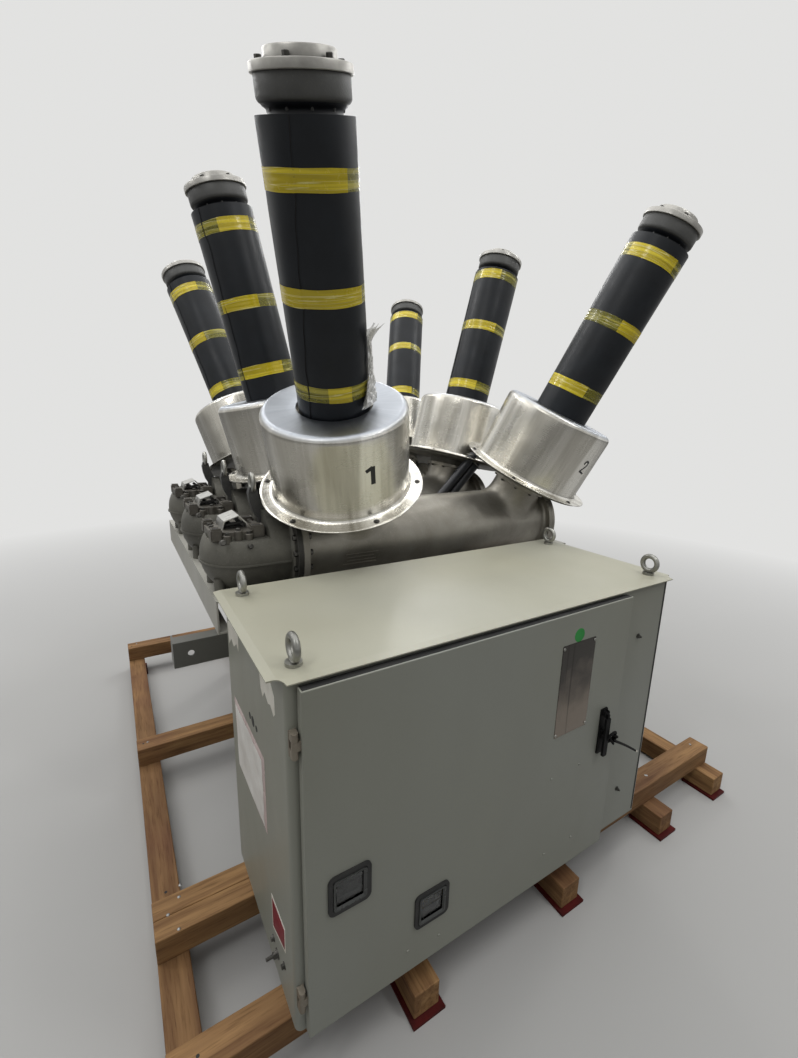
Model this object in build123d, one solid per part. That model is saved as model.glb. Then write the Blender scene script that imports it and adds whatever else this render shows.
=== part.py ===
"""Three-pole dead-tank gas circuit breaker on its timber transport skid.

Millimetres. +X runs along the cabinet front and the tanks, +Y from the cabinet to the
rear pole, +Z up. The origin is on the floor, at the middle of the skid.
"""
from build123d import *
import os
from math import cos, pi, radians, sin

# Timber skid
skid_width = 2400.0
skid_length = 2648.0
timber = 89.0
pad_height = 10.0
pad_length = 150.0
pad_overhang = 18.0
pad_side_overhang = 12.0
runner_inner = (-529.5, 103.5, 718.5)
front_beam_inset = 84.0
double_beam_inset = 465.0
double_beam_gap = 1.0
double_beam_plank = 69.5
middle_beam_y = 145.5
timber_edge = 4.0
post_width = 89.0
rear_post_inset = 374.0
front_post_x = 650.0

# Control cabinet
sheet = 3.0
cabinet_left = -909.0
cabinet_width = 1432.0
cabinet_front = -1281.0
cabinet_depth = 603.0
cabinet_height = 1000.0
corner_radius = 18.0
front_post_width = 50.0
rail_height = 38.0
fixed_strip_width = 291.0
roof_side_overhang = 34.0
roof_front_overhang = 13.0
roof_back_overhang = 10.0
roof_scoop = 34.0
roof_fold = (22.0, 24.0, 3.0)
roof_rim = (12.0, 6.0)

# Door
door_gap = 5.0
door_depth = 25.0
door_inset_left = 24.0
door_width = 1147.0
door_bottom_gap = 6.0
door_top_gap = 14.0
door_sheet = 2.0
window_size = 104.0
window_radius = 12.0
window_frame_width = 6.0
window_frame_depth = 10.0
pane_thickness = 4.0
window_places = ((-774.0, 604.0), (-520.0, 392.0))

# Door hinges
hinge_offset_x = 12.0
hinge_offset_y = 16.0
hinge_places = (313.0, 1042.0)
hinge_height = 63.0
knuckle_radius = 8.0
knuckle_height = 20.0
knuckle_gap = 0.5
pin_radius = 3.0
pin_clearance = 0.08
leaf_thickness = 3.0
leaf_width = 18.0

# Door handle
handle_x = 178.0
handle_z = 699.0
handle_plate = (34.0, 173.0, 5.0)
handle_plate_round = 5.0
hub_radius = 13.0
hub_height = 11.0
hub_clearance = 0.3
hub_drop = 14.0
lever_width = 22.0
lever_thickness = 8.0
lever_length = 146.0
lever_round = 5.0
lever_pin_radius = 2.5
fork_width = 9.0
lock_radius = 9.0
lock_height = 6.0
hub_floor = 2.0
tongue_reach = 16.0
grip_inset = 0.6

# Rating plate
plate_size = (152.0, 318.0, 1.5)
plate_centre = (8.0, 915.0)

# Inside the cabinet
mount_panel_gap = 60.0
mount_panel_margin = 60.0
panel_stay_inset = 40.0
panel_stay_width = 40.0
floor_rail_height = 40.0
floor_rail_width = 40.0
floor_rail_y = -990.0
earth_bar_size = (260.0, 28.0, 5.0)
earth_bar_place = (-430.0, -1178.0)
earth_post_radius = 8.0
earth_post_height = 18.0
gland_radius = 28.0
gland_height = 32.0
gland_place = (-392.0, -1222.0)

# Roof lifting eyes
eye_ring_radius = 27.0
eye_wire_radius = 9.0
eye_collar_radius = 20.0
eye_collar_height = 9.0
eye_rise = 42.0
eye_inset_x = 73.0
eye_inset_y = 72.0

# Steel base frame
frame_half_width = 908.0
frame_front = -494.0
frame_rear = 1000.0
frame_top = 1085.0
beam_height = 125.0
beam_flange = 44.0
steel = 6.0
channel_height = 93.0
channel_depth = 55.0
channel_overhang = 148.0
cross_channel_inset = 34.0
end_plate_depth = 75.0
leg_hole_radius = 11.0
leg_hole_offset = 92.0
tie_height = 60.0
tie_width = 70.0
tie_places = (-620.0, 300.0)
deck_plate = 6.0
deck_right = -560.0
tank_beam_left = 560.0

# Poles
pole_pitch = 516.0
front_pole_y = -344.0
tank_z = 1218.0
fan_angle = 21.8
tilt_angle = 14.3
tank_radius = 165.0
tank_left = -520.0
tank_right = 727.0
tank_flange_radius = 205.0
tank_flange = 20.0
flange_cove = 14.0
neck_left = -332.0
neck_right = 530.0
neck_radius = 122.0
neck_top = 228.0
neck_ring_radii = {-1: 128.0, 1: 134.0}
neck_lobes = 10
neck_lobe_radius = 14.0
neck_flare = 172.0
neck_flare_top = 70.0
neck_blend = 12.0
neck_ring = 18.0
end_cover_radius = 200.0
end_cover = 18.0
tank_foot = (90.0, 200.0)
tank_foot_x = 622.0
patch_size = (150.0, 60.0, 4.0)
patch_x = -225.0
patch_turn = 38.0

# Drive housings
drive_radius = 160.0
drive_length = 410.0
drive_flange = 20.0
drive_pad = (190.0, 226.0)
drive_pad_x = -806.0
drive_pad_z = 88.0
drive_pad_chamfer = 58.0
drive_pad_depth = 16.0
drive_under = 120.0
drive_foot_radius = 18.0
drive_foot_places = (-882.0, -726.0)
drive_foot_spread = 78.0
drive_foot_rise = 60.0
drive_rib = (6.0, 5.0)
drive_rib_z = -16.0
drive_boss = (24.0, 20.0, 40.0)
drive_boss_place = (-868.0, -92.0, 22.0)
cover_thickness = 14.0
hood_depth = 120.0
hood_profile = ((-52.0, 0.0), (-44.0, 32.0), (10.0, 50.0), (36.0, 22.0), (40.0, 0.0))
hood_sheet = 3.0
pad_relief = 6.0

# Instrument transformer housings
ct_base = 289.0
ct_height = 331.0
ct_radius = 264.0
ct_flange_radius = 319.0
ct_flange = 5.0
ct_lip = 2.4
ct_gap_depth = 40.0
ct_top_radius = 26.0
ct_root_radius = 16.0
ct_hole_radius = 135.0
support_plate = 10.0
support_radius = 298.0
support_collar = 124.0

# Bushings
bushing_radius = 98.0
cup_base = 1400.0
cup_neck_radius = 88.0
cup_radius = 118.0
cup_height = 77.0
cup_round = 26.0
cap_flange_radius = 125.0
cap_flange = 14.0
cap_radius = 88.0
cap_height = 24.0
cap_edge = 3.0
wrap_radius = 127.0
wrap_start = 604.0
wrap_gap = 12.0

# Lifting lugs on the drive covers
lug_x = -735.0
lug_thickness = 16.0
lug_ring_radius = 38.0
lug_shank = 38.0
lug_height = 202.0
lug_hole_radius = 21.0
lug_foot = (40.0, 90.0, 10.0)

# Wiring conduits
conduit_radius = 16.0
conduit_spacing = 68.0
conduit_y = -95.0
conduit_foot = 300.0
conduit_knee = 1322.0
conduit_rise = 42.0
conduit_run = 420.0
conduit_bend = 60.0
tray_left = 265.0
tray_width = 130.0
tray_height = 40.0
tray_sheet = 2.0

# Places that follow from the sizes above
runner_base = pad_height
beam_base = runner_base + timber
cabinet_base = beam_base + timber
cabinet_right = cabinet_left + cabinet_width
cabinet_back = cabinet_front + cabinet_depth
cabinet_top = cabinet_base + cabinet_height
opening_left = cabinet_left + front_post_width
opening_right = cabinet_right - fixed_strip_width
door_left = cabinet_left + door_inset_left
door_right = door_left + door_width
door_inner = cabinet_front - door_gap
door_face = door_inner - door_depth
door_base = cabinet_base + door_bottom_gap
door_top = cabinet_top - door_top_gap
hinge_x = door_left - hinge_offset_x
hinge_y = cabinet_front - hinge_offset_y
handle_face = door_face - handle_plate[2]
hub_z = handle_z + handle_plate[1] / 2 - hub_drop
beam_base_z = frame_top - beam_height
channel_base = beam_base_z - channel_height
pole_places = [front_pole_y + pole_pitch * n for n in range(3)]
pole_fans = (fan_angle, 0.0, -fan_angle)
skid_front = -skid_length / 2
rear_post_y = skid_length / 2 - rear_post_inset
leg_hole_x = frame_half_width + leg_hole_offset
wrap_end = cup_base - wrap_gap
runner_centres = (timber / 2 - skid_width / 2, *runner_inner, skid_width / 2 - timber / 2)
drive_left = tank_left - drive_length
cap_base = cup_base + cup_height


def block(x0, x1, y0, y1, z0, z1):
    """A plain box between two corners."""
    return Pos((x0 + x1) / 2, (y0 + y1) / 2, (z0 + z1) / 2) * Box(x1 - x0, y1 - y0, z1 - z0)


def rod(radius, start, end):
    """A round bar between two points."""
    start, end = Vector(*start), Vector(*end)
    plane = Plane(origin=start, z_dir=end - start)
    return plane * extrude(Circle(radius), (end - start).length)


def turned(points, rounds=()):
    """A solid turned about Z from (radius, height) points; rounds are (radius, height, size)."""
    face = make_face(Polyline(points, close=True))
    for r, z, size in rounds:
        face = fillet([v for v in face.vertices() if abs(v.X - r) + abs(v.Y - z) < 0.01], size)
    return revolve(Plane.XZ * face, Axis.Z)


def channel(length, height, depth, wall):
    """A C section along X, web at Y 0, flanges towards +Y, from Z 0 up."""
    outline = Polyline(
        (0, 0), (depth, 0), (depth, wall), (wall, wall),
        (wall, height - wall), (depth, height - wall), (depth, height), (0, height),
        close=True,
    )
    section = Plane.YZ * make_face(outline)
    return Pos(-length / 2, 0, 0) * extrude(section, length, dir=(1, 0, 0))


def save(node, *solids):
    """Write one node, its separate solids side by side."""
    shape = solids[0] if len(solids) == 1 else Compound(children=[s for s in solids])
    export_step(shape, f"parts/{node}.step")


# Skid

def lumber(x0, x1, y0, y1, z0, z1):
    """A sawn timber with eased edges."""
    return fillet(block(x0, x1, y0, y1, z0, z1).edges(), timber_edge)


def skid_runner(x):
    return lumber(x - timber / 2, x + timber / 2, -skid_length / 2, skid_length / 2,
                  runner_base, runner_base + timber)


def skid_pad(x, end):
    outer = end * (skid_length / 2 + pad_overhang)
    inner = outer - end * pad_length
    half = timber / 2 + pad_side_overhang
    return block(max(x - half, -skid_width / 2), min(x + half, skid_width / 2),
                 min(outer, inner), max(outer, inner), 0, pad_height)


def skid_cross_beams():
    """Front beam, a double beam under the cabinet's back, middle beam and rear beam."""
    first = skid_front + front_beam_inset
    double = skid_front + double_beam_inset
    second = double + double_beam_plank + double_beam_gap
    spans = ((first, timber), (double, double_beam_plank), (second, double_beam_plank),
             (middle_beam_y - timber / 2, timber), (skid_length / 2 - timber, timber))
    return [lumber(-skid_width / 2, skid_width / 2, y, y + depth, beam_base, cabinet_base)
            for y, depth in spans]


def skid_posts():
    half = post_width / 2
    posts = []
    for x in (-front_post_x, front_post_x):
        posts.append(lumber(x - half, x + half, middle_beam_y - half, middle_beam_y + half,
                            cabinet_base, channel_base))
    for x in (runner_centres[1], runner_centres[3]):
        posts.append(lumber(x - half, x + half, rear_post_y - half, rear_post_y + half,
                            beam_base, channel_base))
    return posts


# Cabinet

def bent_side(side):
    """A side panel with its front return, bent round the vertical corner."""
    edge = cabinet_left if side < 0 else cabinet_right
    reach = opening_left if side < 0 else opening_right
    inner = edge - side * sheet
    corner_x = edge - side * corner_radius
    corner_y = cabinet_front + corner_radius
    bend = corner_radius - sheet
    turn = corner_radius * sin(pi / 4)
    tight = bend * sin(pi / 4)
    outline = Curve() + [
        Line((edge, cabinet_back), (edge, corner_y)),
        ThreePointArc((edge, corner_y), (corner_x + side * turn, corner_y - turn), (corner_x, cabinet_front)),
        Line((corner_x, cabinet_front), (reach, cabinet_front)),
        Line((reach, cabinet_front), (reach, cabinet_front + sheet)),
        Line((reach, cabinet_front + sheet), (corner_x, cabinet_front + sheet)),
        ThreePointArc((corner_x, cabinet_front + sheet), (corner_x + side * tight, corner_y - tight),
                      (inner, corner_y)),
        Line((inner, corner_y), (inner, cabinet_back)),
        Line((inner, cabinet_back), (edge, cabinet_back)),
    ]
    return Pos(0, 0, cabinet_base) * extrude(make_face(outline), cabinet_height, dir=(0, 0, 1))


def front_rail(base):
    """A rail across the door opening, between the two bent panels."""
    return block(opening_left, opening_right, cabinet_front, cabinet_front + sheet, base, base + rail_height)


def cabinet_roof():
    """The roof sheet, its side and front edges sloped down to a rim, scooped at the front corners."""
    x0 = cabinet_left - roof_side_overhang
    x1 = cabinet_right + roof_side_overhang
    y0 = cabinet_front - roof_front_overhang
    y1 = cabinet_back + roof_back_overhang
    top = cabinet_top + sheet
    side_run, front_run, drop = roof_fold
    rim_width, rim_depth = roof_rim
    middle = (x0 + x1) / 2
    wide = Plane((middle, (y0 + y1) / 2, top - drop)) * Rectangle(x1 - x0, y1 - y0)
    flat = Plane((middle, (y0 + front_run + y1) / 2, top)) * Rectangle(
        x1 - x0 - 2 * side_run, y1 - y0 - front_run)
    roof = loft([wide, flat], ruled=True) + block(x0, x1, y0, y1, top - rim_depth, top - drop)
    roof -= block(x0 + rim_width, x1 - rim_width, y0 + rim_width, y1 + 1,
                  top - rim_depth - 1, cabinet_top)
    for x in (x0, x1):
        roof -= rod(roof_scoop, (x, y0, top - rim_depth - 1), (x, y0, top + 1))
    return roof


def cabinet_door():
    """A pan of thin sheet with rounded corners, its two windows cut through."""
    height = door_top - door_base
    outer = block(door_left, door_right, door_face, door_inner, door_base, door_top)
    outer = fillet(outer.edges().group_by(Axis.Y)[0], 3.0)
    hollow = block(door_left + door_sheet, door_right - door_sheet, door_face + door_sheet,
                   door_inner + 1, door_base + door_sheet, door_base + height - door_sheet)
    door = outer - hollow
    for x, z in window_places:
        door -= window_hole(x, z, window_size)
    return door


def window_hole(x, z, size):
    face = Plane.XZ * RectangleRounded(size, size, window_radius)
    return Pos(x, door_face + door_depth, z) * extrude(face, 2 * door_depth)


def window_frame(x, z):
    """A rounded rubber frame that clasps the edge of the window hole."""
    lip = window_size + 2 * window_frame_width
    radius = window_radius + window_frame_width
    face = Plane.XZ * RectangleRounded(lip, lip, radius)
    frame = Pos(x, door_face, z) * extrude(face, window_frame_depth / 2)
    plug = Plane.XZ * RectangleRounded(window_size, window_size, window_radius)
    frame += Pos(x, door_face + window_frame_depth, z) * extrude(plug, window_frame_depth)
    clear = Plane.XZ * RectangleRounded(window_size - 2 * window_frame_width,
                                        window_size - 2 * window_frame_width, window_radius / 2)
    frame -= Pos(x, door_face + 2 * window_frame_depth, z) * extrude(clear, 4 * window_frame_depth)
    return frame


def window_pane(x, z):
    clear = window_size - 2 * window_frame_width
    face = Plane.XZ * RectangleRounded(clear, clear, window_radius / 2)
    return Pos(x, door_face + pane_thickness, z) * extrude(face, pane_thickness)


def hinge_leaf(z):
    """The leaf fixed to the cabinet: a plate with two knuckles and the pin between them."""
    leaf = block(hinge_x - leaf_width / 2, hinge_x + leaf_width / 2,
                 cabinet_front - leaf_thickness, cabinet_front,
                 z - hinge_height / 2, z + hinge_height / 2)
    for side in (-1, 1):
        base = z + side * (hinge_height - knuckle_height) / 2 - knuckle_height / 2
        top = base + knuckle_height
        leaf += rod(knuckle_radius, (hinge_x, hinge_y, base), (hinge_x, hinge_y, top))
        leaf += block(hinge_x - knuckle_radius, hinge_x + knuckle_radius,
                      hinge_y, cabinet_front, base, top)
    low, high = z - hinge_height / 2, z + hinge_height / 2
    return leaf + rod(pin_radius, (hinge_x, hinge_y, low), (hinge_x, hinge_y, high))


def hinge_knuckle(z):
    """The middle knuckle, carried by the door's edge."""
    half = hinge_height / 2 - knuckle_height - knuckle_gap
    knuckle = rod(knuckle_radius, (hinge_x, hinge_y, z - half), (hinge_x, hinge_y, z + half))
    knuckle += block(hinge_x, door_left, hinge_y - knuckle_radius, hinge_y + knuckle_radius / 2,
                     z - half, z + half)
    bore = pin_radius + pin_clearance
    return knuckle - rod(bore, (hinge_x, hinge_y, z - hinge_height), (hinge_x, hinge_y, z + hinge_height))


def handle_base():
    """The long escutcheon with a round seat for the hub and the lock boss."""
    width, height, depth = handle_plate
    face = Plane.XZ * RectangleRounded(width, height, handle_plate_round)
    plate = Pos(handle_x, door_face, handle_z) * extrude(face, depth)
    lock_y = handle_face - lock_height
    return plate + rod(lock_radius, (handle_x, handle_face, handle_z), (handle_x, lock_y, handle_z))


def handle_hub():
    """A round boss that turns on the escutcheon, with a fork for the lever."""
    near = handle_face - hub_clearance
    far = near - hub_height
    hub = rod(hub_radius, (handle_x, near, hub_z), (handle_x, far, hub_z))
    slot = fork_width / 2 + hub_clearance
    hub -= block(handle_x - slot, handle_x + slot, far - 1, near - hub_floor,
                 hub_z - 2 * hub_radius, hub_z + 2 * hub_radius)
    bore = lever_pin_radius + pin_clearance
    return hub - rod(bore, (handle_x - 2 * hub_radius, lever_pin_y(), hub_z),
                     (handle_x + 2 * hub_radius, lever_pin_y(), hub_z))


def handle_lever():
    """The lever: a flat grip under the hub, its tongue and cross pin in the hub's fork."""
    pin_y = lever_pin_y()
    half = fork_width / 2
    grip_near = handle_face - hub_clearance - hub_height - grip_inset
    lever = rod(half, (handle_x - half, pin_y, hub_z), (handle_x + half, pin_y, hub_z))
    lever += block(handle_x - half, handle_x + half, grip_near - lever_thickness + 1, pin_y,
                   hub_z - tongue_reach, hub_z)
    lever += rod(lever_pin_radius, (handle_x - hub_radius + 2, pin_y, hub_z),
                 (handle_x + hub_radius - 2, pin_y, hub_z))
    top = hub_z - hub_radius - 1
    face = Plane.XZ * RectangleRounded(lever_width, lever_length, lever_round)
    return lever + Pos(handle_x, grip_near, top - lever_length / 2) * extrude(face, lever_thickness)


def lever_pin_y():
    return handle_face - 2 * hub_clearance - hub_floor - fork_width / 2


def rating_plate():
    width, height, depth = plate_size
    x, z = plate_centre
    face = Plane.XZ * RectangleRounded(width, height, 4)
    return Pos(x, door_face, z) * extrude(face, depth)


def mount_panel():
    """The back plate for the wiring, on two rails that hold it off the rear wall."""
    y = cabinet_back - mount_panel_gap
    x0, x1 = cabinet_left + mount_panel_margin, cabinet_right - mount_panel_margin
    base, top = cabinet_base + mount_panel_margin, cabinet_top - mount_panel_margin
    panel = block(x0, x1, y - sheet, y, base, top)
    for x in (x0 + panel_stay_inset, x1 - panel_stay_inset - panel_stay_width):
        panel += block(x, x + panel_stay_width, y - sheet / 2, cabinet_back - sheet, base, top)
    return panel


def floor_rail():
    """The rail on the cabinet's floor that shows low in the left window."""
    half = floor_rail_width / 2
    top = cabinet_base + sheet
    return block(cabinet_left + mount_panel_margin, cabinet_right - mount_panel_margin,
                 floor_rail_y - half, floor_rail_y + half, top, top + floor_rail_height)


def earth_bar():
    """A flat bar on two posts, seen through the right window."""
    length, width, depth = earth_bar_size
    x, y = earth_bar_place
    base = cabinet_base + sheet
    top = base + earth_post_height
    bar = block(x - length / 2, x + length / 2, y - width / 2, y + width / 2, top, top + depth)
    for side in (-1, 1):
        post_x = x + side * length / 3
        bar += rod(earth_post_radius, (post_x, y, base), (post_x, y, top))
    return bar


def cable_gland():
    x, y = gland_place
    base = cabinet_base + sheet
    return rod(gland_radius, (x, y, base), (x, y, base + gland_height))


# Lifting eyes

def roof_eye(x, y):
    """A forged eye: a collar on the roof and a ring that stands across X."""
    base = cabinet_top + sheet
    collar = rod(eye_collar_radius, (x, y, base), (x, y, base + eye_collar_height))
    ring = Pos(x, y, base + eye_rise) * Rot(0, 90, 0) * Torus(eye_ring_radius, eye_wire_radius)
    return collar + ring


def roof_eyes():
    x0 = cabinet_left - roof_side_overhang + eye_inset_x
    x1 = cabinet_right + roof_side_overhang - eye_inset_x
    y0 = cabinet_front - roof_front_overhang + eye_inset_y
    y1 = cabinet_back + roof_back_overhang - eye_inset_y
    return [roof_eye(x, y) for x in (x0, x1) for y in (y0, y1)]


# Steel base frame

def side_beam(side):
    """The upright channel on one side of the frame, its web facing out."""
    length = frame_rear - frame_front
    beam = Rot(0, 0, -90 * -side) * channel(length, beam_height, beam_flange, steel)
    return Pos(side * frame_half_width, (frame_front + frame_rear) / 2, beam_base_z) * beam


def deck_beam():
    """The inner beam under the deck plate's free edge."""
    length = frame_rear - frame_front
    beam = Rot(0, 0, 90) * channel(length, beam_height - deck_plate, beam_flange, steel)
    return Pos(deck_right, (frame_front + frame_rear) / 2, beam_base_z) * beam


def tank_beam():
    """A channel laid flat, flanges down, under the tanks' feet."""
    length = frame_rear - frame_front
    beam = Rot(0, 0, 90) * Rot(-90, 0, 0) * channel(length, beam_height, beam_flange, steel)
    return Pos(tank_beam_left + beam_height, (frame_front + frame_rear) / 2,
               beam_base_z + beam_flange) * beam


def drive_deck():
    """The plate between the left beam and the inner beam, under the drive housings' feet."""
    return block(beam_flange - frame_half_width, deck_right, frame_front, frame_rear,
                 frame_top - deck_plate, frame_top)


def front_channel():
    """The leg bracket channel under the frame's front, with its two end plates."""
    half = frame_half_width + channel_overhang
    bar = Pos(0, frame_front, channel_base) * channel(2 * half, channel_height, channel_depth, steel)
    for side in (-1, 1):
        x = side * half
        bar += block(min(x, x - side * steel), max(x, x - side * steel), frame_front,
                     frame_front + end_plate_depth, channel_base, beam_base_z)
        hole_x = side * leg_hole_x
        hole_z = channel_base + channel_height / 2
        bar -= rod(leg_hole_radius, (hole_x, frame_front - 1, hole_z),
                   (hole_x, frame_front + steel + 1, hole_z))
    return bar


def cross_channel(y):
    bar = channel(2 * (frame_half_width - cross_channel_inset), channel_height, channel_depth, steel)
    return Pos(0, y - channel_depth / 2, channel_base) * bar


def cabinet_ties():
    """Two short hollow arms that join the cabinet's back to the frame."""
    ties = []
    for x in tie_places:
        top = beam_base_z - steel
        arm = block(x, x + tie_width, cabinet_back, frame_front, top - tie_height, top)
        arm -= block(x + steel, x + tie_width - steel, cabinet_back, frame_front,
                     top - tie_height + steel, top - steel)
        ties.append(arm)
    return ties


# Poles: each is drawn upright with its tank along X, then leaned and placed

def placed(shape, pole):
    return Pos(0, pole_places[pole], tank_z) * Rot(pole_fans[pole], 0, 0) * shape


def on_neck(shape, side):
    """Put a shape that was turned about Z on the left or right neck's axis."""
    x = neck_left if side < 0 else neck_right
    return Pos(x, 0, 0) * Rot(0, side * tilt_angle, 0) * shape


def along_x(shape, x):
    """Lay a shape that was turned about Z along +X, its base at x."""
    return Pos(x, 0, 0) * Rot(0, 90, 0) * shape


def neck(side):
    """A branch neck that flares into the tank, with its bolted ring (scalloped on the right)."""
    body = turned([(0, 0), (neck_flare, 0), (neck_flare, neck_flare_top), (neck_radius, neck_top),
                   (0, neck_top)])
    radius = neck_ring_radii[side]
    ring = Sketch() + Circle(radius)
    if side > 0:
        ring += PolarLocations(radius - neck_lobe_radius / 2, neck_lobes) * Circle(neck_lobe_radius)
    return on_neck(body + Pos(0, 0, neck_top) * extrude(ring, neck_ring), side)


def barrel(length):
    """The turned barrel with a coved flange at each end, the right one for the end cover."""
    far = length - tank_flange
    return turned([(0, 0), (tank_flange_radius, 0), (tank_flange_radius, tank_flange),
                   (tank_radius, tank_flange), (tank_radius, far), (end_cover_radius, far),
                   (end_cover_radius, length), (0, length)],
                  [(tank_radius, tank_flange, flange_cove), (tank_radius, far, flange_cove)])


def tank():
    """The cast tank: barrel, two branch necks, a bolted flange at each end and a raised patch."""
    body = along_x(barrel(tank_right - tank_left), tank_left)
    body = body + neck(-1) + neck(1)
    seams = [e for e in body.edges() if e.geom_type == GeomType.BSPLINE and e.length > neck_flare]
    body = fillet(seams, neck_blend)
    length, height, depth = patch_size
    patch = fillet(block(-length / 2, length / 2, -height / 2, height / 2, 0, tank_radius + depth)
                   .edges().filter_by(Axis.Z), height / 5)
    body += Pos(patch_x, 0, 0) * Rot(patch_turn, 0, 0) * patch
    for side in (-1, 1):
        body -= on_neck(Pos(0, 0, neck_top + neck_ring) * Cylinder(
            3 * neck_radius, tank_radius, align=(Align.CENTER, Align.CENTER, Align.MIN)), side)
    return body


def tank_foot_block(pole):
    """The foot that the tank stands on, cut to the barrel."""
    y = pole_places[pole]
    width, depth = tank_foot
    foot = block(tank_foot_x - width / 2, tank_foot_x + width / 2, y - depth / 2, y + depth / 2,
                 beam_base_z + beam_flange, tank_z)
    tube = rod(tank_radius, (tank_foot_x - width, y, tank_z), (tank_foot_x + width, y, tank_z))
    return (foot - tube).solids().sort_by(Axis.Z)[0]


def end_cover_plate(pole):
    disc = Cylinder(end_cover_radius, end_cover, align=(Align.CENTER, Align.CENTER, Align.MIN))
    return placed(along_x(disc, tank_right), pole)


def drive_housing(pole):
    """The cast drive housing: flange, barrel, domed end, flat cover seat, rib, boss and feet."""
    straight = drive_length - drive_radius
    neck_end = straight - drive_flange
    shell = turned([(0, 0), (drive_radius, 0), (drive_radius, neck_end), (tank_flange_radius, neck_end),
                    (tank_flange_radius, straight), (0, straight)], [(drive_radius, neck_end, flange_cove)])
    centre = drive_left + drive_radius
    body = along_x(shell, centre) + Pos(centre, 0, 0) * Sphere(drive_radius)
    wide, high = drive_rib
    reach = drive_radius + high
    rib_length = neck_end - flange_cove
    rib = Cylinder(reach, wide) + block(0, rib_length, -reach, reach, -wide / 2, wide / 2)
    body += Pos(centre, 0, drive_rib_z) * rib
    body -= block(drive_left - 1, tank_left - drive_flange - flange_cove, -2 * drive_radius, 2 * drive_radius,
                  -2 * drive_radius, -drive_under)
    pad_wide, pad_deep = drive_pad
    reach = pad_wide / 2 + pad_relief
    body -= block(drive_pad_x - reach, drive_pad_x + reach, -2 * drive_radius, 2 * drive_radius,
                  drive_pad_z - drive_pad_depth, 2 * drive_radius)
    body += Pos(drive_pad_x, 0, 0) * extrude(octagon(pad_wide, pad_deep, drive_pad_chamfer), drive_pad_z)
    boss_wide, boss_deep, boss_high = drive_boss
    boss = Box(boss_wide, boss_deep, boss_high, align=(Align.CENTER, Align.MAX, Align.CENTER))
    body += Pos(*drive_boss_place) * Rot(0, 0, -45) * boss
    for x in drive_foot_places:
        for y in (-drive_foot_spread, drive_foot_spread):
            low = frame_top - tank_z
            body += rod(drive_foot_radius, (x, y, low), (x, y, low + drive_foot_rise))
    return Pos(0, pole_places[pole], tank_z) * body


def octagon(wide, deep, chamfer):
    x, y, c = wide / 2, deep / 2, chamfer
    return make_face(Polyline((-x + c, -y), (x - c, -y), (x, -y + c), (x, y - c),
                              (x - c, y), (-x + c, y), (-x, y - c), (-x, -y + c), close=True))


def drive_cover(pole):
    wide, deep = drive_pad
    plate = extrude(octagon(wide, deep, drive_pad_chamfer), cover_thickness)
    return Pos(drive_pad_x, pole_places[pole], tank_z + drive_pad_z) * plate


def hood_outline():
    """The hood's folded profile and its inner face, one sheet thickness in."""
    inner = [(x + hood_sheet * (1 if x < 0 else -1), max(z - hood_sheet, 0)) for x, z in hood_profile]
    return [*hood_profile, *reversed(inner)]


def drive_hood(pole):
    """A folded sheet guard over the cover, open at its front and back."""
    sheet_face = make_face(Polyline([(x, 0, z) for x, z in hood_outline()], close=True))
    hood = Pos(0, hood_depth / 2, 0) * extrude(sheet_face, hood_depth, dir=(0, -1, 0))
    return Pos(drive_pad_x, pole_places[pole], tank_z + drive_pad_z + cover_thickness) * hood


def ct_housing(pole, side):
    """The spun cover as a closed body: rolled flange, straight wall, rounded shoulder, neck gap."""
    floor = ct_height - ct_gap_depth
    cover = turned([(bushing_radius, 0), (ct_flange_radius, 0), (ct_flange_radius, ct_flange),
                    (ct_radius, ct_flange), (ct_radius, ct_height), (ct_hole_radius, ct_height),
                    (ct_hole_radius, floor), (bushing_radius, floor)],
                   [(ct_radius, ct_height, ct_top_radius), (ct_radius, ct_flange, ct_root_radius),
                    (ct_flange_radius, 0, ct_lip), (ct_flange_radius, ct_flange, ct_lip),
                    (ct_hole_radius, ct_height, ct_lip)])
    return placed(on_neck(Pos(0, 0, ct_base) * cover, side), pole)


def ct_support(pole, side):
    """The seat on the neck's ring: a collar and the plate that takes the cover."""
    low = neck_top + neck_ring
    seat = turned([(0, low), (support_collar, low), (support_collar, ct_base - support_plate),
                   (support_radius, ct_base - support_plate), (support_radius, ct_base), (0, ct_base)])
    seat -= bushing_clearance(low)
    return placed(on_neck(seat, side), pole)


def bushing_clearance(low):
    return Pos(0, 0, low) * Cylinder(bushing_radius, ct_height, align=(Align.CENTER, Align.CENTER, Align.MIN))


def bushing(pole, side):
    """The insulator stem, from the seat up to the neck under its metal cup."""
    foot = neck_top + neck_ring
    points = [(0, foot), (bushing_radius, foot), (bushing_radius, wrap_end), (cup_neck_radius, wrap_end),
              (cup_neck_radius, cup_base), (0, cup_base)]
    return placed(on_neck(turned(points), side), pole)


def bushing_cup(pole, side):
    """The cast cup at the top of the stem, rounded under its straight wall."""
    cup = turned([(0, cup_base), (cup_radius, cup_base), (cup_radius, cap_base), (0, cap_base)],
                 [(cup_radius, cup_base, cup_round)])
    return placed(on_neck(cup, side), pole)


def bushing_cap(pole, side):
    """The terminal flange and its round top plate."""
    top = cap_base + cap_flange + cap_height
    cap = turned([(0, cap_base), (cap_flange_radius, cap_base), (cap_flange_radius, cap_base + cap_flange),
                  (cap_radius, cap_base + cap_flange), (cap_radius, top), (0, top)],
                 [(cap_flange_radius, cap_base + cap_flange, cap_edge), (cap_radius, top, cap_edge)])
    return placed(on_neck(cap, side), pole)


def bushing_wrap(pole, side):
    wrap = turned([(bushing_radius, wrap_start), (wrap_radius, wrap_start),
                   (wrap_radius, wrap_end), (bushing_radius, wrap_end)])
    return placed(on_neck(wrap, side), pole)


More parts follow.
